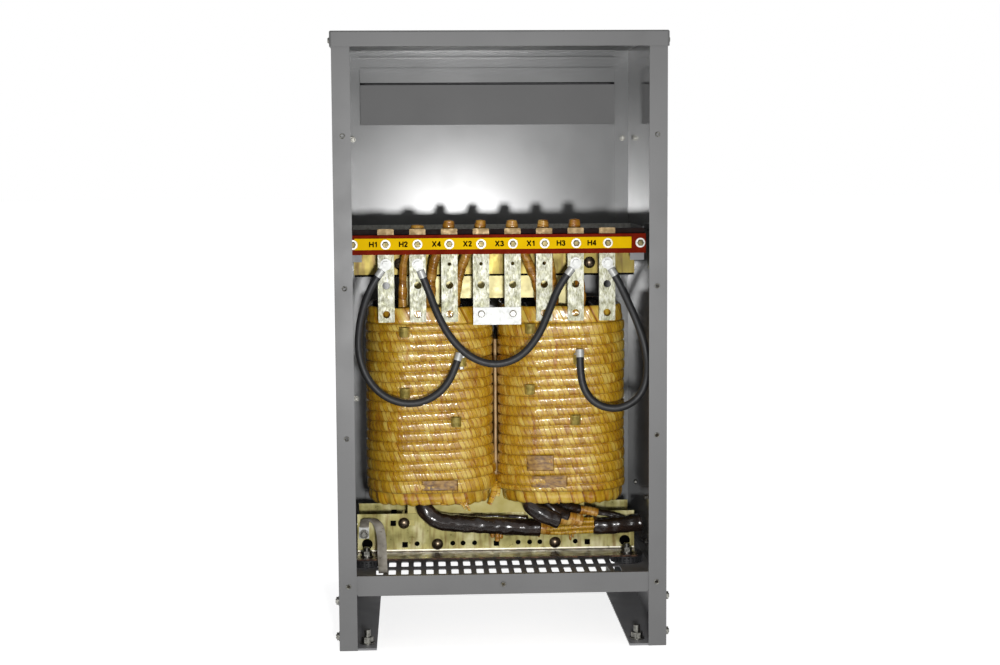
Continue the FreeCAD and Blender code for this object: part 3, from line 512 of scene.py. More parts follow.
def stations(points, step_mm):
    """Even stations along a route: place, direction, side, up and mm from the start."""
    guide = route_curve("guide", points)
    bpy.context.view_layer.update()
    mesh = bpy.data.meshes.new_from_object(guide)
    raw = [v.co.copy() for v in mesh.vertices]
    bpy.data.objects.remove(guide)
    bpy.data.meshes.remove(mesh)
    reach = [0.0]
    for a, b in zip(raw, raw[1:]):
        reach.append(reach[-1] + (b - a).length)
    count = max(3, round(reach[-1] / (step_mm * MM)))
    line, j = [], 0
    for i in range(count + 1):
        at = reach[-1] * i / count
        while j < len(reach) - 2 and reach[j + 1] < at:
            j += 1
        share = (at - reach[j]) / max(reach[j + 1] - reach[j], 1e-9)
        line.append(raw[j].lerp(raw[j + 1], min(max(share, 0), 1)))
    found, side = [], None
    for i, place in enumerate(line):
        ahead = (line[min(i + 1, count)] - line[max(i - 1, 0)]).normalized()
        if side is None:
            side = ahead.cross(Vector((0, 0, 1)) if abs(ahead.z) < 0.9 else Vector((0, 1, 0)))
        side = (side - ahead * side.dot(ahead)).normalized()
        found.append((place, ahead, side, ahead.cross(side), reach[-1] * i / count / MM))
    return found


def skin(name, points, radius_at, step_mm=2.0, around=24, lap_mm=9.0, turn=0.5):
    """Tube mesh along a route; radius_at(mm from start, mm to end, angle) is in mm."""
    found = stations(points, step_mm)
    total = found[-1][4]
    rows = [[found[0][0]] * around]
    for place, _ahead, side, up, at in found:
        row = []
        for k in range(around):
            angle = 2 * math.pi * k / around
            r = radius_at(at, total - at, angle) * MM
            row.append(place + side * (math.cos(angle) * r) + up * (math.sin(angle) * r))
        rows.append(row)
    rows.append([found[-1][0]] * around)
    lengths = [0.0] + [f[4] for f in found] + [total]

    def wrap_at(r, c, ahead):
        return ((lengths[min(r + ahead, len(lengths) - 1)] + lap_mm * c / around) / lap_mm, turn)
    return joined_rows(name, rows, wrap_at)


def lumps(at, angle, size_mm, seed):
    """Smooth bumps over a tube's skin, between -1 and 1."""
    return drift(at / size_mm, math.cos(angle) * 1.3 + seed, math.sin(angle) * 1.3 + 5.1)


def smoothed(t):
    """An even step from 0 to 1, soft at both ends."""
    t = min(max(t, 0.0), 1.0)
    return t * t * (3 - 2 * t)


def rounded_end(left, reach, least):
    """Share of a tube's radius near its end: a quarter circle over reach, at least the root of least."""
    return math.sqrt(max(least, 1 - max(0.0, 1 - left / reach) ** 2))


# ---------------------------------------------------------------- jumpers
JUMPER_ROUTES = {
    "left": ((-227.4, -110.5, 678.4), (-239, -110.5, 662), (-254, -117, 626), (-264, -125, 583),
             (-266, -131, 538), (-254, -134, 494), (-227.5, -134, 457.5), (-187.5, -131.5, 437),
             (-145, -126, 437), (-108, -119, 458), (-86, -113, 489), (-77, -108.6, 516)),
    "middle": ((-141, -110.5, 675.5), (-130.5, -110.5, 649.5), (-115, -118, 606), (-91, -126, 561),
               (-53, -133, 523), (-5, -136, 508), (43, -134.5, 523), (78, -128, 563), (100, -119, 613),
               (117.7, -110.5, 656.8), (134.6, -110.5, 679.1)),
    "right": ((225.5, -110.5, 677.2), (235, -110.5, 660.8), (250, -117, 628), (267, -125, 588),
              (281, -131, 546), (287, -134, 502), (280.5, -134, 461), (260, -133, 434.5), (229, -131, 421.5),
              (196.5, -127, 426), (170.5, -121, 446.5), (158.5, -114.5, 484), (158.5, -112.5, 520)),
}
CABLE_D = 14.5


def hang_jumpers():
    """Three short cables from the outer bars, each end crimped in a lug."""
    for name, route in JUMPER_ROUTES.items():
        cable = route_curve(f"jumper_cable_{name}", route, CABLE_D / 2)
        cable.data.materials.append(CABLE_JACKET)
        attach(cable, "root")
        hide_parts(f"jumper_{name}")
        tuple(c * MM for c in route[0])


# ---------------------------------------------------------------- coils
# Sizes in mm: each coil's middle, its plan, and the heights of its parts.
COIL_X = 131.0
COIL_Y = 52.0
COIL_W = 250.0
COIL_D = 270.0
COIL_R = 85.0
CUFF_BOTTOM = 229.0
WINDING_LOW = 253.0
WINDING_HIGH = 584.0
TURNS = 17
PITCH = (WINDING_HIGH - WINDING_LOW) / TURNS
# Length of one lap of tape, and how far its edge leans along the coil for each mm it climbs.
LAP = 10.0
LEAN = 0.42
# Points round the coil in each row.
AROUND = 400
# Levels across one turn, close together where the tape dips into the joint.
BAND_LEVELS = (0.0, 0.05, 0.13, 0.3, 0.5, 0.7, 0.87, 0.95)
# Numbers for the rows that aren't turns. They lie halfway, so that no joint is drawn on them.
CUFF_TURN, COLLAR_TURN, RESIN_TURN = 40.5, 60.5, 70.5
CUFF_LAP, COLLAR_LAP, RESIN_LAP = 24.0, 27.0, 20.0
# The collar's foot is drawn as a joint.
COLLAR_FOOT = 60.04
# Where a cuff crosses the lower yoke, its hem stands this much higher.
YOKE_HALF_W, YOKE_HALF_D, YOKE_LIFT = 180, 62, 12.5


def outline(x, inset):
    """Rounded-oblong plan of a coil from the middle of its inner side, anticlockwise: X, Y, mm walked."""
    half_w, half_d, r = COIL_W / 2 - inset, COIL_D / 2 - inset, COIL_R - inset
    flat_x, flat_y = half_w - r, half_d - r
    lengths = (flat_y, math.pi / 2 * r, 2 * flat_x, math.pi / 2 * r, 2 * flat_y,
               math.pi / 2 * r, 2 * flat_x, math.pi / 2 * r, flat_y)
    whole = sum(lengths)
    flip = -1 if x > 0 else 1
    points = []
    for i in range(AROUND):
        left = at = whole * i / AROUND
        part = 0
        while left > lengths[part]:
            left -= lengths[part]
            part += 1
        turn = math.pi / 2 * (left / lengths[part]) if lengths[part] else 0
        px, py = (
            (half_w, left), (flat_x + r * math.cos(turn), flat_y + r * math.sin(turn)),
            (flat_x - left, half_d), (-flat_x - r * math.sin(turn), flat_y + r * math.cos(turn)),
            (-half_w, flat_y - left), (-flat_x - r * math.cos(turn), -flat_y - r * math.sin(turn)),
            (-flat_x + left, -half_d), (flat_x + r * math.sin(turn), -flat_y - r * math.cos(turn)),
            (half_w, -flat_y + left),
        )[part]
        points.append((x + px * flip, COIL_Y + py * flip, at))
    return points, whole


def climb(share):
    """How far a turn has climbed round the coil, 0 to 1; it drops back on the hidden inner side."""
    drop = 0.045
    if share < drop:
        return 0.5 - share / drop / 2
    if share > 1 - drop:
        return 0.5 + (1 - share) / drop / 2
    return (share - drop) / (1 - 2 * drop)


def coil_plan(x):
    """Points round a coil: X, Y, mm walked, share of the way and the way inwards. Also the whole way."""
    points, whole = outline(x, 0)
    plan = []
    for i, (px, py, at) in enumerate(points):
        before, after = points[i - 1], points[(i + 1) % AROUND]
        run = Vector((after[0] - before[0], after[1] - before[1], 0)).normalized()
        plan.append((px, py, at, at / whole, Vector((-run.y, run.x, 0))))
    return plan, whole


def coil_row(plan, inset_at, z_at):
    """A row round the coil, set inwards and up by what the two give for each point's number."""
    return [(Vector((px, py, z_at(i))) + inward * inset_at(i)) * MM
            for i, (px, py, _at, _share, inward) in enumerate(plan)]


def inner_row(x, inset, z):
    """A level row this far inside the coil's outline."""
    return [Vector((px, py, z)) * MM for px, py, _at in outline(x, inset)[0]]


# The next three give each row with how far its laps are shifted, how long they are, and its turn.
def cuff_rows(x, plan, seed):
    """In under the coil, then the tucked cuff with its uneven hem."""
    def hem(i):
        px, py, at, _share, _inward = plan[i]
        over_yoke = abs(py - COIL_Y) < YOKE_HALF_D and abs(px) < YOKE_HALF_W
        return (CUFF_BOTTOM + (YOKE_LIFT if over_yoke else 0) + drift(at / 17, 3, seed) * 2.6
                - 1.6 * abs(math.sin(math.pi * at / CUFF_LAP)))
    tuck = [drift(i / AROUND * 44, 9, seed) for i in range(AROUND)]
    yield inner_row(x, 78, 247.5), 0.0, CUFF_LAP, CUFF_TURN
    yield inner_row(x, 26, 246.5), 0.0, CUFF_LAP, CUFF_TURN
    for inset, lift in ((17, 3), (12.5, 0.2), (8.5, 2), (6.2, 8), (5.4, 15), (5.8, 21.5)):
        row = coil_row(plan, lambda i: inset + tuck[i] * 3.4, lambda i: min(hem(i) + lift, WINDING_LOW - 1.5))
        yield row, lift * 0.012, CUFF_LAP, CUFF_TURN


def turn_rows(x, plan, seed):
    """The taped turns, each with its own swell and wander."""
    # Where the front meets the inner side; the coils nearly touch there.
    inner_front = 0.93 if x < 0 else 0.07
    rng = random.Random(seed)
    for k in range(TURNS):
        swell = rng.uniform(-0.7, 0.5)
        phase = rng.random()
        shift = k * 7.3
        for u in BAND_LEVELS:
            v = k + u
            fade = min(1.0, v, TURNS - v)
            joint = 3.4 * (1 - smoothed(min(u, 1 - u) / 0.17))

            def inset_at(i):
                _px, _py, at, share, _inward = plan[i]
                fold = drift(at / 7.5 + u * 1.2, shift, seed) * 0.55
                slow = drift(at / 60, shift, seed) * 1.1
                sway = drift(at / 150, v / 5, seed + 3) * 1.2
                near = max(0.0, 1 - min(abs(share - inner_front), 0.09) / 0.09)
                meet = smoothed(near) * (1.5 + 5.0 * smoothed((5 - v) / 4))
                return 0.2 + joint - swell - fold - slow - sway - 0.5 * math.sin(math.pi * u) - meet

            def z_at(i):
                _px, _py, at, share, _inward = plan[i]
                wander = drift(at / 55, round(v) * 3.1, seed) * 1.5 * fade
                return WINDING_LOW + PITCH * v + (climb(share) - 0.5) * PITCH * 1.1 * fade + wander
            yield coil_row(plan, inset_at, z_at), phase + u * PITCH * LEAN / LAP, LAP, k + u


def collar_rows(plan, seed):
    """Broad patches of tape and a soft rim."""
    for level, inset in ((0.0, 7.0), (0.8, 4.2), (2.5, 3.4), (8, 4.0), (15, 4.8), (22, 5.2), (27, 5.6),
                         (30, 7.0), (32, 9.5), (31.5, 12.5)):
        def inset_at(i):
            at = plan[i][2]
            return (inset + drift(at / 30, level / 14, seed + 9) * 1.8
                    + drift(at / 9, level / 30, seed + 4) * 0.8)

        def z_at(i):
            return WINDING_HIGH + level + (drift(plan[i][2] / 45, 1, seed) * 2.6 if level > 20 else 0)
        turn = COLLAR_TURN if level else COLLAR_FOOT
        yield coil_row(plan, inset_at, z_at), 0.3 + level * 0.02, COLLAR_LAP, turn


# Rows of the resin inside the collar: how far in, and Z.
RESIN_POOL = ((15, 606), (17, 600), (27, 601), (29, 611), (33, 611.5), (35, 600), (55, 599), (57, 610),
              (61, 610.5), (63, 600), (78, 601))


def wind_coil(name, x, node, seed):
    """Taped turns that climb round the coil, with a collar above, a tucked cuff below and resin on top."""
    plan, whole = coil_plan(x)
    tape = [*cuff_rows(x, plan, seed), *turn_rows(x, plan, seed), *collar_rows(plan, seed)]
    resin = [(inner_row(x, inset, z), 0.0, RESIN_LAP, RESIN_TURN) for inset, z in RESIN_POOL]
    rows, phases, laps, turns = zip(*tape, *resin)

    def wrap_at(r, c, ahead):
        s = (r + ahead) % len(rows)
        phase, turn = phases[s], turns[s]
        if ahead and turn == int(turn):       # the top of a turn, not the foot of the next one
            phase = phases[r] + (1 - BAND_LEVELS[-1]) * PITCH * LEAN / LAP
            turn = turns[r] + 0.0499
        return (whole * c / AROUND / laps[r] + phase, turn)
    mesh = joined_rows(name, rows, wrap_at, loop=True)
    mesh.materials.append(AMBER_TAPE)
    mesh.materials.append(POOLED_RESIN)
    for face in mesh.polygons[(len(tape) - 1) * AROUND:]:
        face.material_index = 1
    keep(name, mesh, (), (node,))


def set_barrier():
    """Pressboard sheet between the coils, its front edge frayed."""
    rows = []
    for j in range(61):
        z = 250 + 296 * j / 60
        wave = drift(z / 40, 2, 5)
        row = [(-3.4, 150), (-3.4, 20), (-3.0, -2 + wave * 3), (-1.2, -5 + wave * 3), (1.2, -5 + wave * 2),
               (3.0, -2 + wave * 2), (3.4, 20), (3.4, 150)]
        rows.append([Vector((px + wave * 0.5, py, z)) * MM for px, py in row])
    mesh = joined_rows("coil_barrier_board", with_ends(rows))
    keep("coil_barrier_board", mesh, (PRESSBOARD,), ("coil_barrier",), smooth=False)


def shade_baffle_gap():
    """Black strip in the gap between the rear baffles, standing in for the shade in that gap."""
    gap_z = 1.0585
    low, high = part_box("rear_baffles")
    rows = []
    for i in range(41):
        x = low[0] + (high[0] - low[0]) * i / 40
        ring = []
        for k in range(12):
            angle = 2 * math.pi * k / 12
            swell = 1 + 0.06 * drift(x * 60, k, 0)
            ring.append(Vector((x, low[1] + 0.006 + 0.004 * math.cos(angle) * swell,
                                gap_z + 0.0031 * math.sin(angle) * swell)))
        rows.append(ring)
    mesh = joined_rows("baffle_gap_painted_shade", with_ends(rows))
    keep("baffle_gap_painted_shade", mesh, (BLACK_RUBBER,))


def face_y(x):
    """Y of a coil's front face at x, in mm."""
    into = max(0.0, abs(abs(x) - COIL_X) - (COIL_W / 2 - COIL_R))
    return COIL_Y - COIL_D / 2 + COIL_R - math.sqrt(COIL_R ** 2 - into ** 2)


def paper_tag(name, x0, x1, z0, z1, seed):
    """Thin bare tag stuck to the front of a coil, buckled a little by the turns under it."""
    across, up = 24, 12
    points, faces = [], []
    for layer in (0, 1):
        for j in range(up + 1):
            for i in range(across + 1):
                px = x0 + (x1 - x0) * i / across
                pz = z0 + (z1 - z0) * j / up + drift(i * 0.9, j * 0.9, seed) * 0.25
                buckle = drift(px / 11, pz / 9, seed) * 0.35
                py = face_y(px) - 0.4 + buckle + (0.7 if layer else 0.0)
                points.append(Vector((px, py, pz)) * MM)
    width = across + 1
    sheet = width * (up + 1)
    for j in range(up):
        for a in range(j * width, j * width + across):
            quad = (a, a + 1, a + width + 1, a + width)
            faces.append(quad)
            faces.append(tuple(sheet + n for n in reversed(quad)))
    rim = [*range(width), *range(2 * width - 1, sheet, width),
           *range(sheet - 2, up * width - 1, -1), *range((up - 1) * width, 0, -width)]
    for a, b in zip(rim, rim[1:] + rim[:1]):
        faces.append((a, a + sheet, b + sheet, b))
    keep(name, new_mesh(name, points, faces), (TAG_PAPER,))


TAPS = ((-178, 570), (-178, 452), (-80, 395), (-69, 512), (64, 574), (63, 456), (151, 396), (157, 514))


def set_tap_cups():
    """Brass tap cups on the coils' fronts, their rims rolled and their bores open."""
    cup = ((0.0, -9.3), (8.6, -9.3), (9.7, -8.4), (9.9, 7.6), (10.6, 8.3), (10.7, 9.1), (10.0, 9.5),
           (8.0, 9.4), (7.5, 8.6), (7.3, -3.0), (0.0, -3.2))
    mesh = turned("tap_cups", cup, [(x, face_y(x) - 10.3, z) for x, z in TAPS], 40)
    keep("tap_cups", mesh, (DULL_BRASS,), ("tap_terminals",))


def lay_clamp_shade():
    """Black sheets that stand in for shade behind the lower clamps' webs, and a black strip for the shadow
    under the upper clamp's edge.
    """
    lower = ((-272, 124), (272, 124), (272, 197), (179, 197), (179, 150), (-179, 150), (-179, 197),
             (-272, 197))
    # Painted shade: black sheets behind the lower clamps' webs, where the webs and their holes lie in shade.
    slab("lower_clamp_painted_shade_front", lower, -2.6, -1.4, PAINTED_SHADE_BLACK)
    slab("lower_clamp_painted_shade_rear", lower, 110.2, 111.4, PAINTED_SHADE_BLACK)
    steps = 90
    under = [(-275 + 550 * i / steps, 671.6) for i in range(steps + 1)]
    over = [(275 - 550 * i / steps, 675.4) for i in range(steps + 1)]
    # Painted shadow: a black strip along the upper clamp's bottom edge.
    slab("upper_clamp_painted_shadow", under + over, -6.6, -2.4, PAINTED_SHADE_BLACK, wave=0.5)


STRAP_ROUTE = ((-263, -9.5, 152), (-263, -10, 172), (-261, -17, 190), (-250, -38, 198), (-232, -60, 191),
               (-226, -84, 163), (-226, -104, 134), (-223.5, -122, 107.2))


def hang_strap():
    """Flat tinned strap from the clamp's left end, over and down to the floor."""
    rows = []
    for place, ahead, _side, _up, at in stations(STRAP_ROUTE, 2.0):
        across = Vector((1, 0, 0)) - ahead * ahead.x * 0.35
        across = across.normalized() * 9.0 * MM
        out = across.cross(ahead).normalized() * 0.75 * MM
        rows.append([place + across * u + out * v * (1.0 if abs(u) < 0.95 else 0.6)
                     for u, v in ((-1, 1), (-0.9, 1), (0, 1.15), (0.9, 1), (1, 1), (1, -1), (0.9, -1),
                                  (0, -1.15), (-0.9, -1), (-1, -1))])
    mesh = joined_rows("ground_strap_braid", with_ends(rows))
    keep("ground_strap_braid", mesh, (STRAP_TIN,), ("ground_strap",))
    plate = ((-272, 152), (-254, 152), (-253, 153), (-253, 175), (-254, 176), (-272, 176), (-273, 175),
             (-273, 153))
    slab("ground_strap_plate", plate, -12.4, -10.6, TIN_PLATE, ("ground_strap",))
    fit_screws("ground_strap_bolt", [(-263, -12.4, 161)], FORWARD, (7.0, 5, 9.5, 1.6), ("ground_strap",))


# ---------------------------------------------------------------- taped leads and tails
BOARD_BACK_Y = -70.8
# Foot X, X at the upper clamp, bar X, diameter, top Z, one lead a row.
LEADS = (
    (-181, -180, -151.25, 14, 776), (-128, -122, -90.75, 18, 784), (-80, -64, -30.25, 18, 784.5),
    (88, 62, 30.25, 18, 784), (112, 104, 90.75, 18, 784), (166, 158, 151.25, 17, 785),
)


def wrap_leads():
    """Leads up from the coils to the backs of the bars, wound with tape lap over lap."""
    for n, (foot, clamp_x, bar, wide, top) in enumerate(LEADS):
        middle = (clamp_x + bar) / 2
        route = ((foot, -45, 608), (foot, -45, 642), (clamp_x, -60, 702), (middle, BOARD_BACK_Y, 738),
                 (bar, BOARD_BACK_Y + 1, 759.5), (bar + 0.5, BOARD_BACK_Y, top))
        lap = 13.0

        def radius_at(at, left, angle, n=n, wide=wide, lap=lap):
            part = (at / lap + angle / (2 * math.pi)) % 1.0
            closing = rounded_end(left, 1.8, 0.02) * (1 - 0.2 * smoothed(1 - left / 13))
            knob = (20 - wide) * 1.3 * smoothed(1 - (left - 15) / 8)
            return (wide / 2 + 0.4 * part + 1.6 * smoothed(1 - at / 90) + knob
                    + lumps(at, angle, 16, n * 3.1) * 1.5 + lumps(at, 2 * angle, 7, n) * 0.5) * closing
        name = f"taped_lead_{n + 1}"
        mesh = skin(name, route, radius_at, 1.5, 24, lap, n + 0.5)
        keep(name, mesh, (LEAD_TAPE,), ("taped_leads",))


# Name, route, width, thickness and twist, one tail a row.
TAPE_TAILS = (
    ("tape_tail_centre", ((-4, -10, 264), (-3, -21, 249), (-8, -26, 236), (-15, -28, 220)), 15, 0.8, 0.5),
    ("tape_tail_centre_short", ((3, -14, 260), (5, -22, 247), (2, -26, 236)), 11, 0.8, 0.3),
    ("tape_tail_left_1", ((-74, -70, 238), (-66, -74, 233), (-58, -76, 226), (-55, -75, 217)), 7, 1.2, 2.0),
    ("tape_tail_left_2", ((-82, -71, 237), (-72, -76, 232), (-66, -77, 227), (-64, -76, 220)), 5, 1.2, 1.5),
    ("tape_tail_left_3", ((-120, -74, 236), (-112, -79, 232), (-104, -79, 231), (-98, -76, 232)), 6, 1.0,
     1.0),
)


def trail_tails():
    """Loose ends of tape: thin strips that curl and fray narrower to their ends."""
    fraying = 0.3
    rim = ((-1, -1), (-0.5, -1), (0, -1), (0.5, -1), (1, -1), (1, 1), (0.5, 1), (0, 1), (-0.5, 1), (-1, 1))
    for n, (name, points, wide, thick, twist) in enumerate(TAPE_TAILS):
        found = stations(points, 2.0)
        total = found[-1][4]
        rows = [[found[0][0]] * len(rim)]
        for place, _ahead, side, up, at in found:
            turn = twist * at / total + lumps(at, 0, 18, n) * 0.5
            flat = side * math.cos(turn) + up * math.sin(turn)
            thin = up * math.cos(turn) - side * math.sin(turn)
            half = wide / 2 * (1 - fraying * at / total) * MM
            rows.append([place + flat * (u * half) + thin * (v * thick / 2 * MM + (u * u - 0.4) * 0.12 * half)
                         for u, v in rim])
        rows.append([found[-1][0]] * len(rim))
        mesh = joined_rows(name, rows, lambda r, c, ahead, n=n: ((r + ahead) * 2.0 / 12, n + 0.5))
        keep(name, mesh, (AMBER_TAPE,))


# ---------------------------------------------------------------- sleeved leads under the coils
LEAD_Y = -27.5
# Name, route, width, how far the ends turn back, seed, and the CAD nodes it replaces, one sleeve a row.
SLEEVES = (
    ("sleeve_left_coil",
     ((-146, -40, 244), (-146, -56, 222), (-124, -57, 195), (-84, -49, 187), (-30, -40, 181.5),
      (30, -31, 175), (88, LEAD_Y - 1, 171.5)), 34, 0.6, 1, ("lower_leads",)),
    ("sleeve_right_coil",
     ((60, -36, 246), (61, -52, 228), (82, -64, 210), (104, -63, 199), (122, -59, 193)),
     34, 0.6, 2, ("lower_leads",)),
    ("sleeve_right_coil_second",
     ((96, -46, 240), (98, -52, 224), (112, -56, 211), (128, -56, 203), (141, -53, 198)),
     24, 0.5, 6, ("lower_leads",)),
    ("sleeve_behind", ((-78, -17, 193), (-30, -15, 192), (30, -14, 190), (64, -16, 188)), 15, 0.4, 8, ()),
    ("sleeve_thin", ((110, -46, 238), (113, -47, 227), (128, -43, 219), (146, -38, 213), (166, -33, 208)),
     17, 0.4, 3, ("lower_leads",)),
    ("sleeve_thin_tail", ((196, -28, 202), (212, -27, 199), (234, -26, 195), (256, -25, 188)),
     11, 0.2, 9, ("lower_leads",)),
    ("sleeve_over_splice",
     ((190, LEAD_Y - 2, 174.5), (210, LEAD_Y - 2, 174), (240, LEAD_Y - 1, 175), (268, LEAD_Y, 177),
      (288, LEAD_Y + 2, 179)), 34, 1.6, 4, ("lead_splice",)),
)
# Where each taped strand runs beside the middle of the splice: how far forward or back, and how far up.
STRANDS = ((-9, 0.5), (-4.5, 7.5), (3, 9), (8.5, 3), (6, -6), (-1, -8), (0, 1))
# Name, route and radius of the tape over the sleeves' ends.
BINDINGS = (
    ("binding_left_sleeve", ((82, LEAD_Y - 1, 171.5), (92, LEAD_Y - 1, 171), (108, LEAD_Y - 2, 170)), 12.8),
    ("binding_right_sleeve", ((120, -54, 196), (136, -52, 195), (152, -46, 192), (168, -40, 186)), 13.0),
    ("binding_thin_sleeve", ((162, -33, 208.5), (176, -31, 205.5), (190, -29, 203), (202, -28, 200.5)), 9.0),
)


def run_lower_leads():
    """Wrinkled varnished sleeves, the taped strands between them and the bindings on their ends."""
    for name, route, wide, flare, seed, replaced in SLEEVES:
        def radius_at(at, left, angle, wide=wide, flare=flare, seed=seed):
            fold = lumps(at, angle, 13, seed) * 1.3 + lumps(at, angle * 2, 30, seed + 4) * 1.2
            crease = math.sin(at / 5.5 + 2.0 * math.sin(angle + at / 30 + seed)) * 0.35
            lip = flare * smoothed(1 - left / 9)
            return (wide / 2 + fold + crease + lip) * rounded_end(min(at, left), 3.0, 0.03)
        mesh = skin(name, route, radius_at, 2.0, 28)
        keep(name, mesh, (DARK_SLEEVING,), replaced)

    for n, (dy, dz) in enumerate(STRANDS):
        route = [(84 + n % 3, LEAD_Y + dy * 0.8, 171 + dz * 0.8), (102, LEAD_Y + dy - 1, 170 + dz),
                 (126, LEAD_Y + dy * 1.2 - 2, 172 + dz * 1.3), (156, LEAD_Y + dy * 1.2 - 3, 174 + dz * 1.3),
                 (198, LEAD_Y + dy * 1.1 - 3, 175 + dz * 1.25)]

        def radius_at(at, left, angle, n=n):
            lap = 0.5 * ((at / 7 + angle / 6.283) % 1)
            return (4.6 + lap + lumps(at, angle, 9, n) * 0.6) * rounded_end(min(at, left), 2.5, 0.03)
        name = f"splice_strand_{n + 1}"
        mesh = skin(name, route, radius_at, 2.0, 14, 7.0, n + 0.5)
        keep(name, mesh, (AMBER_TAPE,), ("lead_splice",))

    for n, (name, route, radius) in enumerate(BINDINGS):
        def radius_at(at, left, angle, n=n, radius=radius):
            lap = 0.9 * ((at / 8 + angle / 6.283) % 1)
            return (radius - 0.8 + lap + lumps(at, angle, 12, n + 7)) * rounded_end(min(at, left), 3.0, 0.03)
        mesh = skin(name, route, radius_at, 1.5, 24, 8.0, n + 0.5)
        keep(name, mesh, (LEAD_TAPE,))


# Place, length and width of each bead.
DRIPS = (
    (-9, -40, 168, 13, 8), (1, -38, 167, 20, 10), (8, -36, 166, 14, 8), (146, -30, 160, 15, 4.5),
    (151, -31, 160, 9, 3.5), (84, -28, 160, 8, 4), (200, -66, 236, 9, 4), (-196, -66, 238, 8, 3.5),
    (-60, -74, 236, 7, 4), (120, -76, 236, 8, 3.6), (150, -76, 237, 7, 3.2), (-150, -76, 236, 6, 3.2),
)


def hang_drips():
    """Beads of set varnish that hang from the taped leads and hems."""
    for n, (x, y, z, drop, wide) in enumerate(DRIPS):
        route = ((x, y, z + 4), (x + 0.4, y, z), (x - 0.3, y - 0.3, z - drop / 2), (x, y, z - drop))

        def radius_at(at, left, angle, wide=wide, n=n):
            return (wide / 2 + lumps(at, angle, 5, n) * 0.9) * rounded_end(left, 3.4, 0.0025)
        name = f"varnish_drip_{n + 1}"
        mesh = skin(name, route, radius_at, 1.0, 14, 6.0, 0.5)
        keep(name, mesh, (LEAD_TAPE,))


# ---------------------------------------------------------------- repeated hardware
def new_tree(name, sizes):
    """A Geometry Nodes tree with a Geometry input and named sizes in metres."""
    tree = bpy.data.node_groups.new(name, "GeometryNodeTree")
    tree.interface.new_socket(name="Geometry", in_out="INPUT", socket_type="NodeSocketGeometry")
    for size, value in sizes.items():
        socket = tree.interface.new_socket(name=size, in_out="INPUT", socket_type="NodeSocketFloat")
        socket.default_value = value
    tree.interface.new_socket(name="Geometry", in_out="OUTPUT", socket_type="NodeSocketGeometry")
    return tree


def on_marks(tree, marks, piece):
    """Stand a piece on every mark, its Z along the way the mark faces."""
    facing = add(tree, "GeometryNodeInputNamedAttribute", {"Name": "facing"}, out="Attribute",
                 data_type="FLOAT_VECTOR")
    turn = add(tree, "FunctionNodeAlignRotationToVector", {"Vector": facing}, axis="Z")
    spread = add(tree, "GeometryNodeMeshToPoints", {"Mesh": marks})
    stood = add(tree, "GeometryNodeInstanceOnPoints", {"Points": spread, "Instance": piece, "Rotation": turn})
    return add(tree, "GeometryNodeRealizeInstances", {"Geometry": stood})


def finish_tree(tree, geometry, material):
    """Give the geometry its material and put it out."""
    painted = add(tree, "GeometryNodeSetMaterial", {"Geometry": geometry, "Material": material})
    add(tree, "NodeGroupOutput", {"Geometry": painted})


def grown(name, tree, points, facings, sizes=None, replaced=()):
    """Run a tree on marker points, with the way each faces, and keep the result as a plain mesh."""
    marks = new_mesh(name + "_marks", [Vector(p) * MM for p in points], [])
    facing = marks.attributes.new("facing", "FLOAT_VECTOR", "POINT")
    facing.data.foreach_set("vector", [c for f in facings for c in f])
    holder = placed(name + "_holder", marks)
    modifier = holder.modifiers.new("grow", "NODES")
    modifier.node_group = tree
    for item in tree.interface.items_tree:
        if item.in_out == "INPUT" and item.name in (sizes or {}):
            modifier[item.identifier] = sizes[item.name] * MM
    bpy.context.view_layer.update()
    graph = bpy.context.evaluated_depsgraph_get()
    mesh = bpy.data.meshes.new_from_object(holder.evaluated_get(graph), depsgraph=graph)
    mesh.name = name
    holder.modifiers.remove(modifier)
    bpy.data.objects.remove(holder)
    return keep(name, mesh, (), replaced, smooth=False)


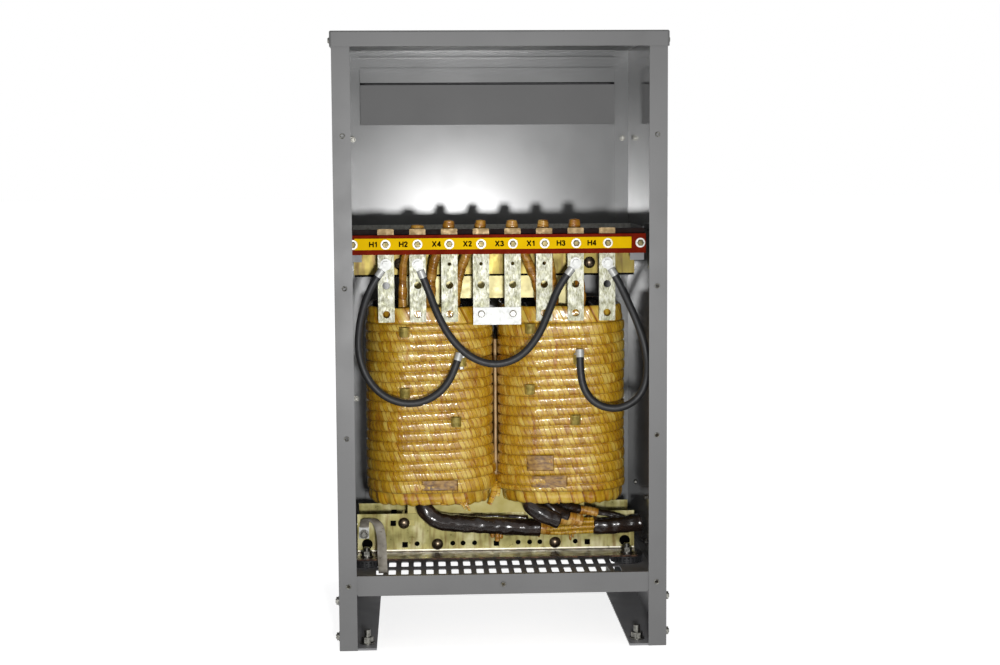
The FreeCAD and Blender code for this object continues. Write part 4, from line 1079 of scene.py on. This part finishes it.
def screw_tree(head_finish, washer_finish):
    """Hex head, chamfered, on a round washer, standing off each marked point."""
    straight, chamfer, narrowing = 0.72, 0.28, 0.8     # shares of the head's height and radius
    tree = new_tree("hex_screws", {"Head radius": 5 * MM, "Head height": 4 * MM, "Washer radius": 7 * MM,
                                   "Washer height": 1.2 * MM})
    given = tree.nodes.new("NodeGroupInput").outputs
    washer = add(tree, "GeometryNodeMeshCylinder",
                 {"Vertices": 28, "Radius": given["Washer radius"], "Depth": given["Washer height"]},
                 out="Mesh")
    low = add(tree, "ShaderNodeMath", {0: given["Washer height"], 1: 0.5}, operation="MULTIPLY")
    low_at = add(tree, "ShaderNodeCombineXYZ", {"Z": low})
    washer_set = add(tree, "GeometryNodeTransform", {"Geometry": washer, "Translation": low_at})
    washer_up = add(tree, "GeometryNodeStoreNamedAttribute",
                    {"Geometry": washer_set, "Name": "washer", "Value": True},
                    data_type="BOOLEAN", domain="FACE")
    shank = add(tree, "ShaderNodeMath", {0: given["Head height"], 1: straight}, operation="MULTIPLY")
    hexagon = add(tree, "GeometryNodeMeshCylinder",
                  {"Vertices": 6, "Radius": given["Head radius"], "Depth": shank}, out="Mesh")
    mid = add(tree, "ShaderNodeMath", {0: shank, 1: 0.5, 2: given["Washer height"]}, operation="MULTIPLY_ADD")
    mid_at = add(tree, "ShaderNodeCombineXYZ", {"Z": mid})
    head_up = add(tree, "GeometryNodeTransform", {"Geometry": hexagon, "Translation": mid_at})
    top_r = add(tree, "ShaderNodeMath", {0: given["Head radius"], 1: narrowing}, operation="MULTIPLY")
    cap_h = add(tree, "ShaderNodeMath", {0: given["Head height"], 1: chamfer}, operation="MULTIPLY")
    crown = add(tree, "GeometryNodeMeshCone",
                {"Vertices": 6, "Radius Top": top_r, "Radius Bottom": given["Head radius"], "Depth": cap_h},
                out="Mesh")
    crown_z = add(tree, "ShaderNodeMath", {0: shank, 1: given["Washer height"]}, operation="ADD")
    crown_at = add(tree, "ShaderNodeCombineXYZ", {"Z": crown_z})
    crown_up = add(tree, "GeometryNodeTransform", {"Geometry": crown, "Translation": crown_at})
    both = tree.nodes.new("GeometryNodeJoinGeometry")
    for part in (crown_up, head_up, washer_up):
        tree.links.new(part, both.inputs[0])
    real = on_marks(tree, given["Geometry"], both.outputs[0])
    heads = add(tree, "GeometryNodeSetMaterial", {"Geometry": real, "Material": head_finish})
    is_washer = add(tree, "GeometryNodeInputNamedAttribute", {"Name": "washer"}, out="Attribute",
                    data_type="BOOLEAN")
    both_set = add(tree, "GeometryNodeSetMaterial",
                   {"Geometry": heads, "Selection": is_washer, "Material": washer_finish})
    add(tree, "NodeGroupOutput", {"Geometry": both_set})
    return tree


def fit_screws(name, points, facings, sizes, replaced=(), finishes=(BRIGHT_ZINC, BRIGHT_ZINC)):
    """Hex screws at points: radius and height of the head, then of the washer, in mm."""
    named = dict(zip(("Head radius", "Head height", "Washer radius", "Washer height"), sizes))
    grown(name, screw_tree(*finishes), points, facings, named, replaced)


def ring_tree():
    """Rolled ring of a rivet nut round each marked hole."""
    tree = new_tree("rivet_rings", {"Ring radius": 4.2 * MM, "Roll radius": 1.2 * MM})
    given = tree.nodes.new("NodeGroupInput").outputs
    path = add(tree, "GeometryNodeCurvePrimitiveCircle", {"Resolution": 24, "Radius": given["Ring radius"]})
    roll = add(tree, "GeometryNodeCurvePrimitiveCircle", {"Resolution": 8, "Radius": given["Roll radius"]})
    ring = add(tree, "GeometryNodeCurveToMesh", {"Curve": path, "Profile Curve": roll})
    finish_tree(tree, on_marks(tree, given["Geometry"], ring), BRIGHT_ZINC)
    return tree


def rib_tree():
    """Ribs round each marked isolator."""
    tree = new_tree("isolator_ribs", {"Reach": 30 * MM, "Rib width": 3.2 * MM, "Rib depth": 6 * MM,
                                      "Rib height": 9 * MM})
    given = tree.nodes.new("NodeGroupInput").outputs
    size = add(tree, "ShaderNodeCombineXYZ", {"X": given["Rib depth"], "Y": given["Rib width"],
                                              "Z": given["Rib height"]})
    rib = add(tree, "GeometryNodeMeshCube", {"Size": size, "Vertices X": 3, "Vertices Y": 3, "Vertices Z": 3},
              out="Mesh")
    circle = add(tree, "GeometryNodeMeshCircle", {"Vertices": 26, "Radius": given["Reach"]})
    where = add(tree, "GeometryNodeInputPosition")
    outward = add(tree, "FunctionNodeAlignRotationToVector", {"Vector": where}, axis="X")
    spokes = add(tree, "GeometryNodeInstanceOnPoints",
                 {"Points": circle, "Instance": rib, "Rotation": outward})
    finish_tree(tree, on_marks(tree, given["Geometry"], spokes), BLACK_RUBBER)
    return tree


# Planes of the posts' front and rear faces and of the side panels, and the bars' and bolts' places.
FRONT_Y = -285.0
REAR_Y = 285.0
SIDE_X = 302.0
BAR_XS = [(i - 3.5) * 60.5 for i in range(8)]
BOARD_BOLT_Z = 739.5
LINK_BOLT_Z = 605.2


def fit_hardware():
    """Nuts in the cover's holes, and screws of the rear flange, the inner walls and the lid."""
    holes = [(sx * 283.8, FRONT_Y, z) for sx in (-1, 1) for z in (120.4, 394.4, 668.3, 942.3)]
    holes.append((0, FRONT_Y, 120.4))
    grown("cover_rivet_nuts", ring_tree(), holes, FORWARD * len(holes),
          {"Ring radius": 4.0, "Roll radius": 1.0})
    rear = [(sx * 284, REAR_Y - 16, z) for sx in (-1, 1) for z in (395, 943)]
    fit_screws("rear_flange_screws", rear, FORWARD * len(rear), (4.5, 3, 6, 1.2))
    walls = [(sx * (SIDE_X - 3), y, z) for sx in (-1, 1) for y, z in ((-23, 229), (-23, 139), (150, 229))]
    inward = [(-1 if x > 0 else 1, 0, 0) for x, _y, _z in walls]
    fit_screws("inner_wall_screws", walls, inward, (4.5, 3, 6, 1.2))
    lid_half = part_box("lid")[1][0] / MM
    edge = [(sx * lid_half, y, 1113) for sx in (-1, 1) for y in (-262, 262)]
    outward = [(1 if x > 0 else -1, 0, 0) for x, _y, _z in edge]
    fit_screws("lid_screws", edge, outward, (5, 2.6, 7, 1.2))


def fit_board_nuts():
    """Yellowed nuts painted dark for shade, on white washers along the board, and the link plate's two large
    screws.
    """
    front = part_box("terminal_board")[0][1] / MM
    bolts = [(x, front, BOARD_BOLT_Z) for x in BAR_XS + [-274.0, 274.0]]
    fit_screws("board_nuts", bolts, FORWARD * len(bolts), (6.4, 7, 9.2, 1.8), ("board_bolts",),
               (YELLOWED_ZINC_PAINTED_SHADE, WASHER_ZINC_AND_BAR_HIGHLIGHT))
    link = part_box("link_plate")[0][1] / MM
    screws = [(x, link, LINK_BOLT_Z) for x in BAR_XS[3:5]]
    fit_screws("link_screws", screws, FORWARD * len(screws), (6.6, 5, 6.0, 0.4), ("link_bolts",),
               (WASHER_ZINC_AND_BAR_HIGHLIGHT, WASHER_ZINC_AND_BAR_HIGHLIGHT))

ISOLATOR_ROWS = (-42.0, 146.0)


def set_isolators():
    """Black ribbed pads under the clamp feet: a turned body, with ribs round it."""
    low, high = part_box("isolator_pads")
    z0, z1 = low[2] / MM, high[2] / MM
    height = z1 - z0
    radius = 33.0
    centres = [(sx * 257, y, z0) for sx in (-1, 1) for y in ISOLATOR_ROWS]
    profile = ((0.0, 0.0), (radius - 3, 0.0), (radius - 1.5, 1.0), (radius - 1.5, 3.0), (radius - 4.5, 4.0),
               (radius - 4.5, height - 4.0), (radius - 1.5, height - 3.0), (radius - 1.5, height - 1.0),
               (radius - 3, height), (12.0, height), (0.0, height))
    mesh = turned("isolator_bodies", profile, centres, 64)
    keep("isolator_bodies", mesh, (BLACK_RUBBER,), ("isolator_pads",))
    middle = (z0 + z1) / 2
    spots = [(cx, cy, middle) for cx, cy, _z in centres]
    sizes = {"Reach": radius - 3.2, "Rib width": 3.4, "Rib depth": 5.0, "Rib height": height - 1.0}
    grown("isolator_ribs", rib_tree(), spots, [(0, 0, 1)] * len(spots), sizes,
          ("isolator_pads",))


# ---------------------------------------------------------------- marks
# Each mark, and how far its middle stands left of its bolt.
MARKS = (("H1", 23.7), ("H2", 27.0), ("X4", 24.8), ("X2", 26.3), ("X3", 25.9), ("X1", 26.7), ("H3", 29.3),
         ("H4", 30.7))
LETTER_HIGH = 10.2
MARK_Z = 740.0
# Middle lines of each letter's strokes, in letter heights, and its width.
STROKES = {
    "H": (0.86, (((0.1, 0), (0.1, 1)), ((0.76, 0), (0.76, 1)), ((0.1, 0.52), (0.76, 0.52)))),
    "X": (0.9, (((0.1, 0), (0.8, 1)), ((0.1, 1), (0.8, 0)))),
    "1": (0.6, (((0.4, 0), (0.4, 1)), ((0.12, 0.7), (0.26, 0.78), (0.38, 0.93)))),
    "2": (0.72, (((0.1, 0.68), (0.13, 0.81), (0.23, 0.9), (0.37, 0.91), (0.51, 0.85), (0.56, 0.72),
                  (0.51, 0.56), (0.32, 0.36), (0.15, 0.1)), ((0.06, 0.09), (0.66, 0.09)))),
    "3": (0.72, (((0.1, 0.74), (0.16, 0.86), (0.32, 0.91), (0.48, 0.86), (0.54, 0.73), (0.47, 0.59),
                  (0.28, 0.53)),
                 ((0.28, 0.53), (0.5, 0.48), (0.6, 0.32), (0.54, 0.16), (0.34, 0.08), (0.16, 0.13),
                  (0.08, 0.28)))),
    "4": (0.74, (((0.5, 0), (0.5, 1)), ((0.5, 0.96), (0.08, 0.3)), ((0.04, 0.28), (0.7, 0.28)))),
}


def ink_stroke(line, left, low, front, points, faces):
    """A flat stroke of ink, mitred where its middle line turns, added to points and faces."""
    line = [Vector((left + px * LETTER_HIGH, low + pz * LETTER_HIGH)) for px, pz in line]
    half = 0.122 * LETTER_HIGH
    start = len(points)
    for i, at in enumerate(line):
        before = (at - line[i - 1]).normalized() if i else (line[1] - at).normalized()
        after = (line[i + 1] - at).normalized() if i < len(line) - 1 else before
        way = (before + after).normalized()
        wide = half / max(way.dot(after), 0.5)
        off = Vector((-way.y, way.x)) * wide
        for side, y in ((off, front - 0.15), (-off, front - 0.15), (-off, front + 0.05), (off, front + 0.05)):
            px, pz = at + side
            points.append(Vector((px, y, pz)) * MM)
    for i in range(len(line) - 1):
        for k in range(4):
            a, b = start + 4 * i + k, start + 4 * i + (k + 1) % 4
            faces.append((a, b, b + 4, a + 4))
    last = start + 4 * (len(line) - 1)
    faces.append((start + 3, start + 2, start + 1, start))
    faces.append((last, last + 1, last + 2, last + 3))


def print_marks():
    """Bold terminal marks left of the bolts, a film of ink on the yellow strip."""
    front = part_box("terminal_label")[0][1] / MM
    for x, (mark, aside) in zip(BAR_XS, MARKS):
        wide = sum(STROKES[letter][0] for letter in mark) * LETTER_HIGH
        left = x - aside - wide / 2
        points, faces = [], []
        for letter in mark:
            for line in STROKES[letter][1]:
                ink_stroke(line, left, MARK_Z - LETTER_HIGH / 2, front, points, faces)
            left += STROKES[letter][0] * LETTER_HIGH + 0.8
        name = f"mark_{mark}"
        keep(name, new_mesh(name, points, faces), (BLACK_INK,), smooth=False)


# ---------------------------------------------------------------- CAD nodes' finishes
FINISHES = {
    CABINET_ENAMEL: ("post_front_left", "post_front_right", "lid", "sills"),
    PAINTED_LIGHT_WALL_ENAMEL: ("side_panel_left", "side_panel_right"),
    PAINTED_LIGHT_BACK_ENAMEL: ("back_panel", "post_rear_left", "post_rear_right", "top_rails"),
    BAFFLE_ENAMEL: ("rear_baffles",),
    SKID_ENAMEL: ("skid_left", "skid_right", "floor_panel", "board_arms"),
    # The cross bar is coloured pale zinc as a painted highlight for the light it catches.
    WASHER_ZINC_AND_BAR_HIGHLIGHT: ("board_cross_bar",),
    BRIGHT_ZINC: ("hold_down_bolts", "side_bolts", "isolator_studs"),
    BROWNED_STEEL: ("clamp_bolts",),
    YELLOW_ZINC: ("upper_clamps",),
    STAINED_ZINC: ("lower_clamps",),
    CORE_EDGES: ("core_legs", "core_yoke_lower", "core_yoke_upper"),
    RED_BOARD: ("terminal_board",),
    PAINTED_SHADE_BOARD: ("terminal_board_back",),
    YELLOW_FILM: ("terminal_label",),
    TINNED_BAR: ("terminal_bars",),
    TIN_PLATE: ("link_plate", "cable_lugs"),
}


def dress_frame():
    """Give the CAD's own pieces their finishes."""
    for material, names in FINISHES.items():
        for name in names:
            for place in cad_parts[name].material_slots:
                place.material = material


set_camera()
set_studio()
hang_jumpers()
dress_frame()
wind_coil("coil_winding_left", -COIL_X, "coil_left", 11)
wind_coil("coil_winding_right", COIL_X, "coil_right", 23)
paper_tag("paper_tag_left", -148, -77, 259, 279, 1)
paper_tag("paper_tag_right", 66, 136, 260, 285, 2)
paper_tag("paper_tag_upper", 57, 110, 295, 326, 3)
set_barrier()
shade_baffle_gap()
wrap_leads()
trail_tails()
run_lower_leads()
hang_drips()
set_isolators()
set_tap_cups()
lay_clamp_shade()
hang_strap()
fit_hardware()
fit_board_nuts()
print_marks()
